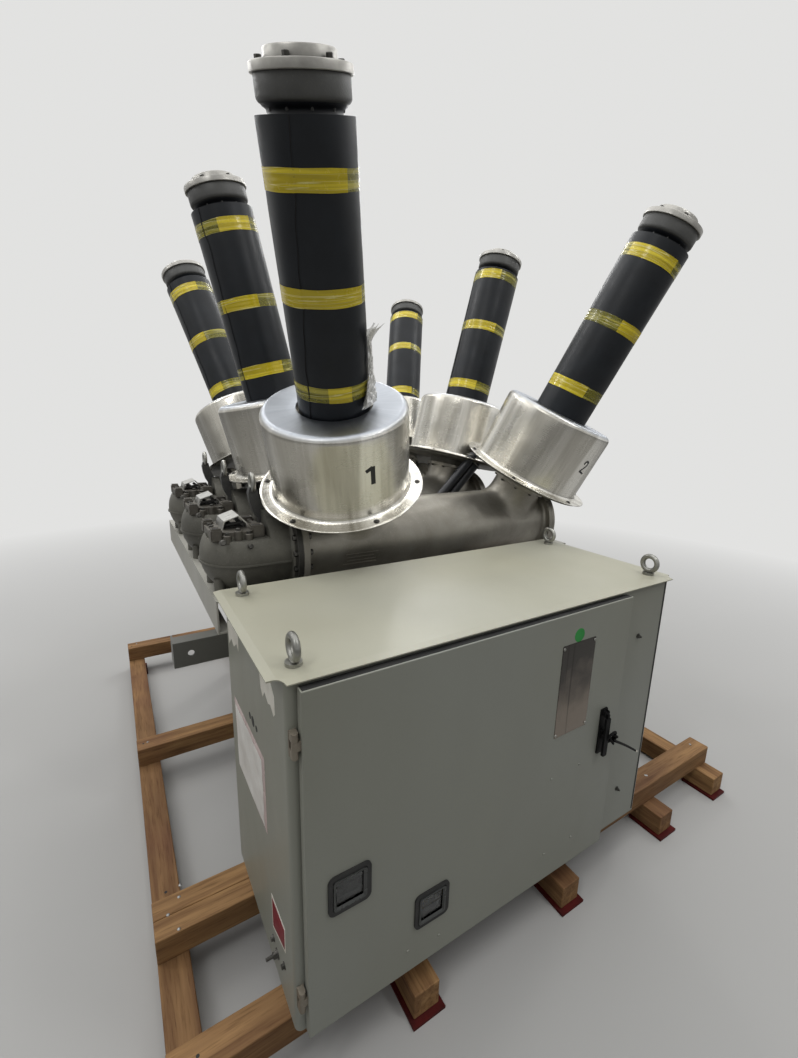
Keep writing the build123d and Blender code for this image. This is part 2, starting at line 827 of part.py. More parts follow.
def lifting_lug(pole):
    """A forged eye on a shank, its foot on the drive cover's inner edge."""
    base = tank_z + drive_pad_z + cover_thickness
    eye_z = lug_height - lug_ring_radius
    outline = (Pos(0, eye_z) * Circle(lug_ring_radius)
               + Pos(0, eye_z / 2) * Rectangle(lug_shank, eye_z)
               - Pos(0, eye_z) * Circle(lug_hole_radius))
    lug = extrude(Plane.YZ * outline, lug_thickness, dir=(1, 0, 0))
    lug = Pos(-lug_thickness / 2, 0, 0) * lug
    wide, deep, high = lug_foot
    lug += block(-wide / 2, wide / 2, -deep / 2, deep / 2, 0, high)
    return Pos(lug_x, pole_places[pole], base) * lug


def cable_tray():
    """The lidded tray that runs back over the cross channels under the tanks."""
    right = tray_left + tray_width
    top = beam_base_z + tray_height
    tray = block(tray_left, right, frame_front, frame_rear, beam_base_z, top)
    inner_left, inner_right = tray_left + tray_sheet, right - tray_sheet
    return tray - block(inner_left, inner_right, frame_front - 1, frame_rear + 1,
                        beam_base_z - 1, top - tray_sheet)


def conduit(n):
    """A wiring pipe from the tray up to the seat of the middle pole's right housing."""
    x = conduit_foot + n * conduit_spacing
    slope = radians(conduit_rise)
    end = (x + conduit_run * cos(slope), conduit_y, conduit_knee + conduit_run * sin(slope))
    foot = (x, conduit_y, beam_base_z + tray_height)
    path = FilletPolyline(foot, (x, conduit_y, conduit_knee), end, radius=conduit_bend)
    pipe = sweep(Plane(origin=foot, z_dir=(0, 0, 1)) * Circle(conduit_radius), path)
    seat = Pos(0, 0, ct_base - support_plate) * Cylinder(
        2 * support_radius, ct_height, align=(Align.CENTER, Align.CENTER, Align.MIN))
    return pipe - placed(on_neck(seat, 1), 1)


def main():
    os.makedirs("parts", exist_ok=True)
    poles = range(3)
    necks = [(pole, side) for side in (-1, 1) for pole in poles]

    save("skid_runners", *[skid_runner(x) for x in runner_centres])
    save("skid_pads", *[skid_pad(x, end) for x in runner_centres for end in (-1, 1)])
    save("skid_cross_beams", *skid_cross_beams())
    save("skid_posts", *skid_posts())

    save("cabinet_left_side", bent_side(-1))
    save("cabinet_right_side", bent_side(1))
    inner_left, inner_right = cabinet_left + sheet, cabinet_right - sheet
    save("cabinet_back", block(inner_left, inner_right, cabinet_back - sheet, cabinet_back,
                               cabinet_base, cabinet_top))
    save("cabinet_floor", block(inner_left + corner_radius, inner_right - corner_radius,
                                cabinet_front + sheet, cabinet_back - sheet,
                                cabinet_base, cabinet_base + sheet))
    save("cabinet_rails", front_rail(cabinet_base), front_rail(cabinet_top - rail_height))
    save("cabinet_roof", cabinet_roof())
    save("roof_eyes", *roof_eyes())
    save("mount_panel", mount_panel())
    save("floor_rail", floor_rail())
    save("earth_bar", earth_bar())
    save("cable_gland", cable_gland())

    save("cabinet_door", cabinet_door())
    save("window_frames", *[window_frame(x, z) for x, z in window_places])
    save("window_panes", *[window_pane(x, z) for x, z in window_places])
    save("rating_plate", rating_plate())
    save("hinge_leaves", *[hinge_leaf(z) for z in hinge_places])
    save("hinge_knuckles", *[hinge_knuckle(z) for z in hinge_places])
    save("handle_base", handle_base())
    save("handle_hub", handle_hub())
    save("handle_lever", handle_lever())

    save("frame_side_beams", side_beam(-1), side_beam(1))
    save("frame_inner_beams", deck_beam(), tank_beam())
    save("drive_deck", drive_deck())
    save("frame_front_channel", front_channel())
    save("frame_cross_channels", cross_channel(middle_beam_y), cross_channel(rear_post_y))
    save("cabinet_ties", *cabinet_ties())

    body = tank()
    for pole in poles:
        save(f"tank_{pole + 1}", placed(body, pole))
    save("drive_housings", *[drive_housing(pole) for pole in poles])
    save("tank_feet", *[tank_foot_block(pole) for pole in poles])
    save("tank_end_covers", *[end_cover_plate(pole) for pole in poles])
    save("drive_covers", *[drive_cover(pole) for pole in poles])
    save("drive_hoods", *[drive_hood(pole) for pole in poles])
    save("lifting_lugs", *[lifting_lug(pole) for pole in poles])

    save("ct_housings", *[ct_housing(pole, side) for pole, side in necks])
    save("bushings", *[bushing(pole, side) for pole, side in necks])
    save("bushing_cups", *[bushing_cup(pole, side) for pole, side in necks])
    save("bushing_caps", *[bushing_cap(pole, side) for pole, side in necks])
    save("ct_supports", *[ct_support(pole, side) for pole, side in necks])
    save("bushing_wraps", *[bushing_wrap(pole, side) for pole, side in necks])
    save("cable_tray", cable_tray())
    save("conduits", *[conduit(n) for n in range(2)])


if __name__ == "__main__":
    main()
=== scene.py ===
"""Looks of the three-pole circuit breaker on its skid, in metres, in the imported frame."""

import random
from math import cos, exp, hypot, pi, radians, sin, sqrt, tan

import bpy
import bmesh
from mathutils import Matrix, Vector


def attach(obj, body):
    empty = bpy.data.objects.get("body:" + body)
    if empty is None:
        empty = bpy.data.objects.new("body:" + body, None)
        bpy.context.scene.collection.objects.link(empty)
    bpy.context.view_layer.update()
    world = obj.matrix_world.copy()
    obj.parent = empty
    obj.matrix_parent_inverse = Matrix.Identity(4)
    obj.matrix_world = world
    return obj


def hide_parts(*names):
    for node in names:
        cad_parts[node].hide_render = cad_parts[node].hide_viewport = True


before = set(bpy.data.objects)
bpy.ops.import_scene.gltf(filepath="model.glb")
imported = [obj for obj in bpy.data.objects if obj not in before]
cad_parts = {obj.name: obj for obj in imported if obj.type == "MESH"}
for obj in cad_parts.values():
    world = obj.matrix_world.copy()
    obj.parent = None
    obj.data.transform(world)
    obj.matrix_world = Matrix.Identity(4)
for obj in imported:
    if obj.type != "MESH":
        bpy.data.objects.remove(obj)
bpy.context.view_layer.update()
MM = 0.001
FULL_TURN = 2 * pi
BACKDROP = (0.76, 0.76, 0.75, 1)

# Places shared with the solids, in millimetres and degrees
TANK_Z = 1218
POLE_Y = (-344, 172, 688)
FAN = (21.8, 0.0, -21.8)
TILT = 14.3
NECK_X = {-1: -332, 1: 530}
CT_BASE, CT_TOP, CT_RADIUS, CT_FLANGE_RADIUS, CT_HOLE = 289, 620, 264, 319, 135
WRAP_TOP = 1388
TANK_RIGHT, TANK_RADIUS, TANK_FLANGE_RADIUS, TANK_FLANGE = 727, 165, 205, 26
END_COVER, END_COVER_RADIUS = 18, 200
CAD_JOINT_X = -520
NECK_RADIUS, NECK_TOP, NECK_RING = 122, 228, 18
CUP_BASE, CAP_BASE, CAP_RIM_RADIUS, CAP_RIM, CAP_RADIUS, CAP_TOP = 1408, 1464, 125, 20, 88, 1510
COVER_X, COVER_TOP = -806, 102
CABINET_LEFT, CABINET_FRONT, DOOR_FACE = -909, -1281, -1311
HANDLE_X = 178
SKID_TOP = 188
SLEEVE_RADIUS, SLEEVE_FOOT, SEAM_LENGTH = 124.2, 604.2, 740

# The joint of tank and drive housing, as the scene shows it
JOINT_X = -602


def srgb(*colour):
    """A colour written as 0 to 255 values, in linear light."""
    parts = [v / 255 for v in colour]
    return tuple(v / 12.92 if v <= 0.04045 else ((v + 0.055) / 1.055) ** 2.4 for v in parts) + (1.0,)


class Nodes:
    """A shader's node tree, built up node by node."""

    def __init__(self, tree):
        self.tree = tree

    def node(self, kind, **settings):
        made = self.tree.nodes.new(kind)
        for key, value in settings.items():
            setattr(made, key, value)
        return made

    def link(self, source, target):
        self.tree.links.new(source, target)

    def give(self, value, socket):
        """Links a socket to a value, or sets the value: three numbers are a colour of 0 to 255."""
        if isinstance(value, (int, float)):
            socket.default_value = value
        elif isinstance(value, tuple):
            socket.default_value = srgb(*value) if len(value) == 3 else value
        else:
            self.link(value, socket)

    def span(self, value, low, high, to_low=0.0, to_high=1.0):
        """Maps a value from one range to another, held at its ends."""
        made = self.node("ShaderNodeMapRange")
        for index, part in enumerate((value, low, high, to_low, to_high)):
            self.give(part, made.inputs[index])
        return made.outputs[0]

    def maths(self, operation, first, second=0):
        made = self.node("ShaderNodeMath", operation=operation)
        self.give(first, made.inputs[0])
        self.give(second, made.inputs[1])
        return made.outputs[0]

    def blend(self, amount, first, second):
        """Mixes two colours by an amount."""
        made = self.node("ShaderNodeMix", data_type="RGBA")
        sockets = {s.identifier: s for s in made.inputs}
        for key, value in (("Factor_Float", amount), ("A_Color", first), ("B_Color", second)):
            self.give(value, sockets[key])
        return next(s for s in made.outputs if s.identifier == "Result_Color")

    def seen(self, path):
        """1 on rays that the camera sees straight, in a reflection or through glass."""
        most = path.outputs["Is Camera Ray"]
        for name in ("Is Glossy Ray", "Is Transmission Ray"):
            most = self.maths("MAXIMUM", most, path.outputs[name])
        return most


class Look(Nodes):
    """A procedural material."""

    def __init__(self, name, **sockets):
        self.material = bpy.data.materials.new(name)
        self.material.use_nodes = True
        super().__init__(self.material.node_tree)
        self.shader = self.tree.nodes["Principled BSDF"]
        for key, value in sockets.items():
            self.shader.inputs[key.replace("_", " ")].default_value = value
        self.place = self.node("ShaderNodeTexCoord").outputs["Object"]
        self.height = None

    def mapped(self, scale, turn):
        mapping = self.node("ShaderNodeMapping")
        mapping.inputs["Scale"].default_value = scale
        mapping.inputs["Rotation"].default_value = [radians(a) for a in turn]
        self.link(self.place, mapping.inputs["Vector"])
        return mapping.outputs["Vector"]

    def noise(self, scale, detail=3, rough=0.5, stretch=(1, 1, 1), distortion=0.0, turn=(0, 0, 0), at=None):
        made = self.node("ShaderNodeTexNoise")
        values = {"Scale": scale, "Detail": detail, "Roughness": rough, "Distortion": distortion}
        for key, value in values.items():
            made.inputs[key].default_value = value
        self.link(at or self.mapped(stretch, turn), made.inputs["Vector"])
        return made.outputs["Fac"]

    def value(self, given):
        """A socket as it is, or the noise that a tuple of arguments describes."""
        return self.noise(*given) if isinstance(given, tuple) else given

    def cells(self, scale, stretch):
        made = self.node("ShaderNodeTexVoronoi", feature="F1")
        made.inputs["Scale"].default_value = scale
        self.link(self.mapped(stretch, (0, 0, 0)), made.inputs["Vector"])
        return made.outputs["Distance"]

    def axes(self):
        made = self.node("ShaderNodeSeparateXYZ")
        self.link(self.place, made.inputs[0])
        return tuple(made.outputs)

    def joined(self, *parts):
        made = self.node("ShaderNodeCombineXYZ")
        for index, part in enumerate(parts):
            self.link(part, made.inputs[index])
        return made.outputs[0]

    def over(self, tone, colour, value, low, high, most=1.0):
        """Lays a colour over a tone as the value goes from low to high."""
        return self.blend(self.span(self.value(value), low, high, 0, most), tone, colour)

    def colour(self, socket):
        self.link(socket, self.shader.inputs["Base Color"])

    def rough(self, value, low, high):
        self.link(self.span(self.value(value), 0.25, 0.75, low, high), self.shader.inputs["Roughness"])

    def bump(self, value, strength, distance):
        made = self.node("ShaderNodeBump")
        made.inputs["Strength"].default_value = strength
        made.inputs["Distance"].default_value = distance
        self.link(self.value(value), made.inputs["Height"])
        if self.height:
            self.link(self.height, made.inputs["Normal"])
        self.height = made.outputs["Normal"]
        self.link(self.height, self.shader.inputs["Normal"])


def paint(name, base, dirt, rough=(0.38, 0.52), grime=0.35):
    """Satin sheet-metal paint with a faint orange peel, smears and dust."""
    look = Look(name, Specular_IOR_Level=0.45)
    pale = tuple(v * f for v, f in zip(srgb(*base), (1.02, 1.05, 1.18, 1)))
    tone = look.over(base, dirt, (1.6, 4, 0.55, (1, 1, 0.5)), 0.38, 0.75, grime)
    tone = look.over(tone, pale, look.noise(1.1, 2, 0.5, (1, 1, 0.7), turn=(0, 0, 40)), 0.45, 0.7, 0.5)
    tone = look.over(tone, dirt, (120, 2, 0.6), 0.6, 0.8, 0.3 * grime)
    look.colour(tone)
    look.rough((5, 4, 0.6, (1, 1, 0.6)), *rough)
    look.bump((420, 2, 0.5), 0.08, 0.0006)
    return look.material


def casting(name, base, dark, light, metallic=0.35, rough=(0.42, 0.62)):
    """Sand-cast surface under thin grey paint: pitted, with worn high spots."""
    look = Look(name, Metallic=metallic, Specular_IOR_Level=0.5)
    tone = look.over(dark, base, look.noise(4.5, 5, 0.6, distortion=0.3), 0.3, 0.7)
    tone = look.over(tone, light, (150, 3, 0.65), 0.58, 0.8, 0.45)
    tone = look.over(tone, dark, (28, 4, 0.7), 0.62, 0.8, 0.5)
    look.colour(tone)
    look.rough((9, 4, 0.6), *rough)
    look.bump((240, 3, 0.6), 0.35, 0.0012)
    look.bump((26, 3, 0.5), 0.2, 0.002)
    return look.material


def timber(name, along):
    """Rough sawn lumber with its grain along one axis, knots and reddish stains."""
    look = Look(name, Specular_IOR_Level=0.25)
    stretch = tuple(0.06 if axis == along else 1.0 for axis in "XYZ")
    loose = tuple(0.25 if axis == along else 1.0 for axis in "XYZ")
    rings = look.noise(30, 4, 0.55, stretch, 0.6)
    fibre = look.noise(170, 3, 0.6, stretch)
    tone = look.over((162, 126, 84), (114, 82, 52), rings, 0.35, 0.68)
    tone = look.over(tone, (92, 64, 44), (3.2, 4, 0.6, loose), 0.42, 0.7, 0.75)
    tone = look.over(tone, (70, 46, 32), fibre, 0.52, 0.75, 0.6)
    tone = look.blend(look.span(look.cells(3.1, loose), 0.035, 0.075, 0.85, 0), tone, (66, 38, 22))
    tone = look.over(tone, (92, 50, 44), (1.7, 3, 0.5), 0.54, 0.72, 0.55)
    look.colour(tone)
    look.rough(fibre, 0.6, 0.85)
    look.bump(rings, 0.35, 0.0015)
    look.bump(fibre, 0.4, 0.0008)
    return look.material


def galvanised(name, base, pale, rough=(0.28, 0.5), metallic=0.9):
    """Zinc with its patchy spangle."""
    look = Look(name, Metallic=metallic)
    tone = look.over(base, pale, (14, 4, 0.6), 0.35, 0.7)
    look.colour(look.over(tone, base, look.noise(75, 1, 0.4, distortion=0.8), 0.42, 0.6, 0.35))
    look.rough((30, 3, 0.6), *rough)
    look.bump((180, 2, 0.5), 0.12, 0.0006)
    return look.material


def plain(name, base, other, rough=(0.4, 0.6), scale=40, bump=0.1, **sockets):
    """A moulded or painted surface with slight colour change and texture."""
    look = Look(name, **sockets)
    look.colour(look.over(base, other, (scale / 4, 4, 0.6), 0.35, 0.7))
    look.rough((scale / 3, 3, 0.6), *rough)
    look.bump((scale * 8, 2, 0.5), bump, 0.0005)
    return look.material


def spun(name, base, dark, light, top):
    """Lathe-spun aluminium: fine rings round Z, streaks that run out from it, a cooler, duller top. The light
    and dark streaks in its colour are painted reflection streaks, and the top's cooler, darker tone with its
    radial streaks is painted reflection too.
    """
    look = Look(name, Metallic=1.0, Anisotropic=0.7, Specular_IOR_Level=0.5)
    tangent = look.node("ShaderNodeTangent", direction_type="RADIAL", axis="Z")
    look.link(tangent.outputs[0], look.shader.inputs["Tangent"])
    x, y, z = look.axes()
    square = look.maths("ADD", look.maths("MULTIPLY", x, x), look.maths("MULTIPLY", y, y))
    radius = look.maths("SQRT", square)
    rings = look.noise(420, 3, at=look.joined(look.maths("SUBTRACT", z, radius)))
    ray = look.joined(look.maths("DIVIDE", x, radius), look.maths("DIVIDE", y, radius),
                      look.maths("MULTIPLY", z, 0.35))
    streak, fine = look.noise(3.4, 4, at=ray), look.noise(15, 3, at=ray)
    cloud = look.noise(6, 4, 0.6)
    # Light and dark streaks round the axis: painted reflection streaks.
    tone = look.blend(0.4, look.over(dark, light, streak, 0.40, 0.64), base)
    tone = look.over(tone, dark, fine, 0.5, 0.75, 0.4)
    tone = look.over(tone, dark, cloud, 0.5, 0.75, 0.3)
    # The top's own cooler, darker tone and radial streaks: painted reflection of the overhead light.
    cool = look.over(top, (150, 156, 163), fine, 0.45, 0.75, 0.45)
    cool = look.over(cool, (188, 192, 197), cloud, 0.55, 0.7, 0.4)
    high = ((CT_TOP - 16) * MM, (CT_TOP - 2) * MM)
    look.colour(look.over(tone, cool, z, *high))
    wear = look.maths("ADD", look.span(rings, 0.3, 0.7, 0.0, 0.05), look.span(cloud, 0.3, 0.7, 0.19, 0.29))
    look.link(look.maths("ADD", wear, look.span(z, *high, 0, 0.16)), look.shader.inputs["Roughness"])
    look.bump(rings, 0.15, 0.0004)
    look.bump(streak, 0.4, 0.008)
    return look.material


def brushed_plate(name, low, high):
    """A bare stainless plate, darker towards its top, with fine slanting scratches."""
    look = Look(name, Metallic=0.9)
    darker_toward_top = look.maths("ADD", look.axes()[2], look.span(look.noise(11, 3, 0.6), 0.3, 0.7, -0.05, 0.05))
    scratch = look.noise(60, 2, 0.5, (1, 1, 0.02), turn=(0, 38, 0))
    look.colour(look.over(look.over(low, high, darker_toward_top, 0.82, 1.0), (52, 48, 46), scratch, 0.66, 0.7, 0.6))
    look.rough((14, 3, 0.6), 0.1, 0.22)
    look.bump((90, 2, 0.5), 0.03, 0.0004)
    return look.material


def film(name, base, other):
    """Smooth black packing sheet with soft shallow folds."""
    look = Look(name, Specular_IOR_Level=0.3)
    look.colour(look.over(base, other, (9, 4, 0.6), 0.35, 0.7))
    look.rough((14, 3, 0.6), 0.36, 0.5)
    look.bump((7, 3, 0.5, (1, 1, 0.2)), 0.3, 0.004)
    look.bump((500, 2, 0.5), 0.06, 0.0004)
    return look.material


def tape(name, base, thin, alpha):
    """Clear yellow tape with fine ripples along it, brighter where they stand off, with a painted glint along
    each ripple.
    """
    look = Look(name, Specular_IOR_Level=0.6)
    ripple = look.noise(55, 2, 0.5, (0.03, 0.03, 1), 0.2)
    # A pale line along each ripple: painted glint.
    painted_glint = look.maths("ABSOLUTE", look.maths("SUBTRACT", ripple, 0.53))
    tone = look.over(thin, base, ripple, 0.56, 0.62)
    look.colour(look.blend(look.span(painted_glint, 0.004, 0.014, 0.75, 0), tone, (250, 240, 160)))
    look.rough((60, 3, 0.6), 0.15, 0.32)
    look.bump(ripple, 0.5, 0.002)
    look.link(look.span(ripple, 0.4, 0.66, *alpha), look.shader.inputs["Alpha"])
    return look.material


def clear_film(name):
    """Crumpled clear plastic, coloured near white as painted glints."""
    look = Look(name, Specular_IOR_Level=0.8)
    crease = look.noise(90, 4, 0.7, distortion=1.2)
    look.colour(look.over((214, 213, 208), (252, 251, 248), crease, 0.4, 0.65))
    look.rough((60, 3, 0.6), 0.08, 0.25)
    look.bump(crease, 0.35, 0.003)
    look.link(look.span(crease, 0.32, 0.52, 0.55, 1.0), look.shader.inputs["Alpha"])
    return look.material


CABINET_PAINT = paint("cabinet_paint", (143, 144, 132), (112, 110, 98))
# The roof takes a lighter copy of the cabinet paint: painted light on the top face.
LIT_ROOF_PAINT = paint("roof_paint_with_painted_light", (172, 170, 151), (138, 134, 117), (0.36, 0.48))
FRAME_LIGHT = paint("frame_light_paint", (172, 170, 160), (128, 124, 114))
FRAME_DARK = paint("frame_dark_paint", (92, 92, 86), (74, 72, 65), (0.35, 0.55))
# The drive casting is set darker, partly as painted shade from the housings above it; the tank casting is set
# lighter, partly as painted light on its top.
CASTING = casting("sand_casting", (112, 110, 101), (74, 73, 67), (144, 141, 130))
TANK_CASTING = casting("tank_casting", (164, 160, 150), (124, 120, 111), (186, 182, 172), 0.6, (0.34, 0.46))
# A darker copy of the casting: painted shade on the drive's flange beside the bright rim.
PAINTED_SHADE_CASTING = casting("casting_with_painted_shade", (70, 68, 63), (50, 49, 46), (92, 90, 84))
CUP_GREY = casting("cup_casting", (84, 84, 82), (66, 66, 65), (100, 100, 98))
COVER_GREY = casting("cover_casting", (104, 100, 92), (70, 66, 60), (140, 136, 126))
RIM_METAL = casting("bare_rim", (172, 167, 156), (134, 130, 120), (198, 194, 184), 0.1)
WEB_STEEL = casting("web_steel", (92, 92, 90), (70, 70, 69), (122, 122, 120), 0.5)
HINGE = casting("hinge_metal", (134, 126, 112), (106, 98, 86), (160, 153, 140), 0.3)
TIMBER_X, TIMBER_Y, TIMBER_Z = (timber(f"timber_along_{axis.lower()}", axis) for axis in "XYZ")
ZINC = galvanised("galvanised_zinc", (128, 128, 123), (178, 177, 171))
BOLT = galvanised("bolt_steel", (122, 122, 120), (160, 160, 158), (0.3, 0.5))
DARK_BOLT = galvanised("dark_bolt_steel", (70, 69, 66), (104, 102, 98), (0.35, 0.55))
BRASS = galvanised("bright_brass", (176, 140, 60), (214, 182, 96), (0.2, 0.4))
SHEET_BRIGHT = galvanised("bright_sheet", (186, 185, 180), (214, 213, 208), (0.25, 0.4))
CAP_METAL = galvanised("cap_aluminium", (152, 150, 145), (180, 178, 172), (0.32, 0.5), 0.75)
SPUN = spun("spun_aluminium", (220, 217, 208), (160, 156, 146), (244, 242, 236), (166, 170, 176))
STAINLESS = brushed_plate("stainless_plate", (134, 124, 114), (70, 67, 64))
FILM = film("black_film", (17, 20, 24), (25, 29, 34))
TAPE = tape("yellow_tape_double", (236, 214, 52), (206, 184, 34), (0.9, 0.98))
TAPE_THIN = tape("yellow_tape_single", (196, 184, 74), (140, 134, 36), (0.62, 0.86))
CLEAR = clear_film("crumpled_clear_film")
GLASS = plain("window_glass", (200, 205, 205), (210, 214, 214), (0.02, 0.05), 20, 0.02,
              Transmission_Weight=1.0, IOR=1.5)
BLACK = plain("black_plastic", (9, 9, 10), (18, 18, 18), (0.5, 0.65), Specular_IOR_Level=0.12)
PAD_RED = plain("pad_dark_red", (84, 18, 16), (54, 12, 11), (0.6, 0.8), 60, 0.3, Specular_IOR_Level=0.2)
GASKET = plain("black_gasket", (22, 22, 22), (38, 37, 36), (0.55, 0.8))
STEM = plain("stem_black", (18, 20, 24), (30, 33, 38), (0.3, 0.5))
BEZEL = plain("bezel_plastic", (58, 60, 58), (44, 46, 44), (0.22, 0.36))
CONDUIT = plain("conduit_grey", (58, 60, 64), (44, 45, 48), (0.35, 0.5))
INK = plain("number_black", (20, 20, 22), (30, 30, 32), (0.4, 0.55))
GREEN = plain("green_sticker", (28, 150, 58), (20, 128, 48), (0.4, 0.6))
RED_LABEL = plain("red_label", (128, 20, 36), (104, 18, 30), (0.35, 0.5))
LABEL_WHITE = plain("label_white", (232, 229, 218), (204, 199, 186), (0.5, 0.7))
PAPER = plain("pouch_paper", (238, 236, 230), (214, 210, 202), (0.3, 0.5))
POUCH = plain("pouch_film", (208, 188, 183), (184, 162, 158), (0.2, 0.35), 30, 0.3)
# Near black for holes, grooves, gaps and what sits in a hood's opening: painted shade where the real parts
# show only shade.
RECESS_SHADE = plain("painted_recess_shade", (22, 21, 20), (34, 32, 30), (0.6, 0.8))

NODE_LOOKS = (
    (TIMBER_X, ["skid_cross_beams"]),
    (TIMBER_Y, ["skid_runners"]),
    (TIMBER_Z, ["skid_posts"]),
    (PAD_RED, ["skid_pads"]),
    (CABINET_PAINT, ["cabinet_left_side", "cabinet_right_side", "cabinet_back", "cabinet_floor",
                     "cabinet_rails", "cabinet_door"]),
    (LIT_ROOF_PAINT, ["cabinet_roof"]),
    (ZINC, ["roof_eyes", "mount_panel", "floor_rail", "cable_tray", "lifting_lugs"]),
    (BRASS, ["earth_bar"]),
    (BLACK, ["cable_gland", "handle_base", "handle_hub", "handle_lever"]),
    (GASKET, ["window_frames"]),
    (GLASS, ["window_panes"]),
    (STAINLESS, ["rating_plate"]),
    (HINGE, ["hinge_leaves", "hinge_knuckles"]),
    (FRAME_LIGHT, ["frame_side_beams", "frame_inner_beams"]),
    (FRAME_DARK, ["drive_deck", "frame_front_channel", "frame_cross_channels", "cabinet_ties", "tank_feet"]),
    (TANK_CASTING, ["tank_1", "tank_2", "tank_3", "tank_end_covers"]),
    (CASTING, ["drive_housings", "ct_supports"]),
    (COVER_GREY, ["drive_covers"]),
    (SHEET_BRIGHT, ["drive_hoods"]),
    (SPUN, ["ct_housings"]),
    (STEM, ["bushings"]),
    (CUP_GREY, ["bushing_cups"]),
    (CAP_METAL, ["bushing_caps"]),
    (FILM, ["bushing_wraps"]),
    (CONDUIT, ["conduits"]),
)
for material, nodes in NODE_LOOKS:
    for node in nodes:
        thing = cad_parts[node]
        thing.data.materials.clear()
        thing.data.materials.append(material)


class Shape:
    """Points and faces gathered in millimetres, made into one piece at the end."""

    def __init__(self, *forms):
        self.points = []
        self.faces = []
        for form in forms:
            self.add(form)

    def add(self, form, *places):
        """Adds a form as it stands, or once at each place."""
        points, faces = form
        for place in places or (Matrix(),):
            start = len(self.points)
            self.points += [place @ Vector(point) for point in points]
            self.faces += [tuple(index + start for index in face) for face in faces]
        return self

    def make(self, name, look, slot, body="frame", place=None, replaces=None, angle=32):
        mesh = bpy.data.meshes.new(name)
        mesh.from_pydata([point * MM for point in self.points], [], self.faces)
        work = bmesh.new()
        work.from_mesh(mesh)
        bmesh.ops.remove_doubles(work, verts=work.verts, dist=1e-6)
        bmesh.ops.recalc_face_normals(work, faces=work.faces)
        work.to_mesh(mesh)
        work.free()
        mesh.polygons.foreach_set("use_smooth", [True] * len(mesh.polygons))
        mesh.set_sharp_from_angle(angle=radians(angle))
        mesh.materials.append(look)
        piece = linked(name, mesh)
        if place:
            metres = place.copy()
            metres.translation = metres.translation * MM
            piece.matrix_world = metres
        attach(piece, body)
        if replaces:
            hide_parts(replaces)


def linked(name, data):
    """A new object that holds the data, in the scene."""
    made = bpy.data.objects.new(name, data)
    bpy.context.collection.objects.link(made)
    return made


def polar(radius, turn, height):
    return (radius * cos(turn), radius * sin(turn), height)


def path_of(steps, at):
    """Points at(t) along a path, t from 0 to 1."""
    return [at(n / steps) for n in range(steps + 1)]


def between(rings, closed=False):
    """Faces between neighbouring rings of point numbers; a ring of one repeated number is a tip."""
    faces = []
    for low, high in zip(rings, rings[1:] + (rings[:1] if closed else [])):
        for n in range(len(low)):
            m = (n + 1) % len(low)
            face = tuple(dict.fromkeys([low[n], low[m], high[m], high[n]]))
            if len(face) > 2:
                faces.append(face)
    return faces


def rings_of(count, sides):
    return [range(n * sides, (n + 1) * sides) for n in range(count)]


def lathe(profile, sides=96, closed=False, wave=None):
    """Turns (radius, height) points about Z; wave(turn) adds to the radius."""
    points, rings = [], []
    for radius, height in profile:
        if radius == 0:
            rings.append([len(points)] * sides)
            points.append((0, 0, height))
            continue
        rings.append(list(range(len(points), len(points) + sides)))
        for n in range(sides):
            turn = FULL_TURN * n / sides
            points.append(polar(radius + (wave(turn) if wave else 0), turn, height))
    return points, between(rings, closed)


def rounded(centre, radius, start, end, steps=6):
    """Arc points (radius, height) for a lathe profile, angles in degrees."""
    spread = [radians(start + (end - start) * n / steps) for n in range(steps + 1)]
    return [(centre[0] + radius * cos(a), centre[1] + radius * sin(a)) for a in spread]


def slab(width, depth, height, edge=1.0):
    """A block with chamfered edges, centred in X and Y, from Z 0 up."""
    work = bmesh.new()
    bmesh.ops.create_cube(work, size=1.0)
    bmesh.ops.scale(work, vec=(width, depth, height), verts=work.verts)
    bmesh.ops.translate(work, vec=(0, 0, height / 2), verts=work.verts)
    bmesh.ops.bevel(work, geom=work.edges[:], offset=edge, segments=2, affect="EDGES")
    work.verts.index_update()
    form = [tuple(v.co) for v in work.verts], [tuple(v.index for v in f.verts) for f in work.faces]
    work.free()
    return form


def hex_bolt(across, height, washer=1.5, collar=1.9):
    """A hexagon head with a chamfered top on its washer, from Z 0 up."""
    foot = across * collar / 2
    points, faces = lathe([(0, 0), (foot, 0), (foot, washer), (0, washer)], 24)
    radius = across / sqrt(3)
    crown = [(radius, height - across * 0.08), (radius * 0.86, height), (0, height)]
    head, more = lathe([(radius, washer)] + crown, 6)
    start = len(points)
    return points + head, faces + [tuple(i + start for i in face) for face in more]


def round_screw(radius, height):
    """A domed screw head with a drive recess, from Z 0 up."""
    steps = ((1, 0), (1, 0.35), (0.86, 0.8), (0.6, 1), (0.42, 1), (0.34, 0.4), (0, 0.4))
    return lathe([(radius * across, height * up) for across, up in steps], 20)


def disc(radius, thickness, sides=24):
    return lathe([(radius, 0), (radius, thickness), (0, thickness)], sides)


def tube(path, radius, sides=10):
    """A round bar along points, with closed ends; the radius may be a function of the way from 0 to 1."""
    path = [Vector(p) for p in path]
    points = []
    side = None
    for n, here in enumerate(path):
        ahead = path[min(n + 1, len(path) - 1)] - path[max(n - 1, 0)]
        ahead.normalize()
        if side is None:
            side = ahead.orthogonal().normalized()
        side = (side - ahead * side.dot(ahead)).normalized()
        other = ahead.cross(side)
        size = radius(n / (len(path) - 1)) if callable(radius) else radius
        for k in range(sides):
            turn = FULL_TURN * k / sides
            points.append(tuple(here + side * size * cos(turn) + other * size * sin(turn)))
    rings = rings_of(len(path), sides)
    return points, between(rings) + [tuple(rings[0]), tuple(rings[-1])]


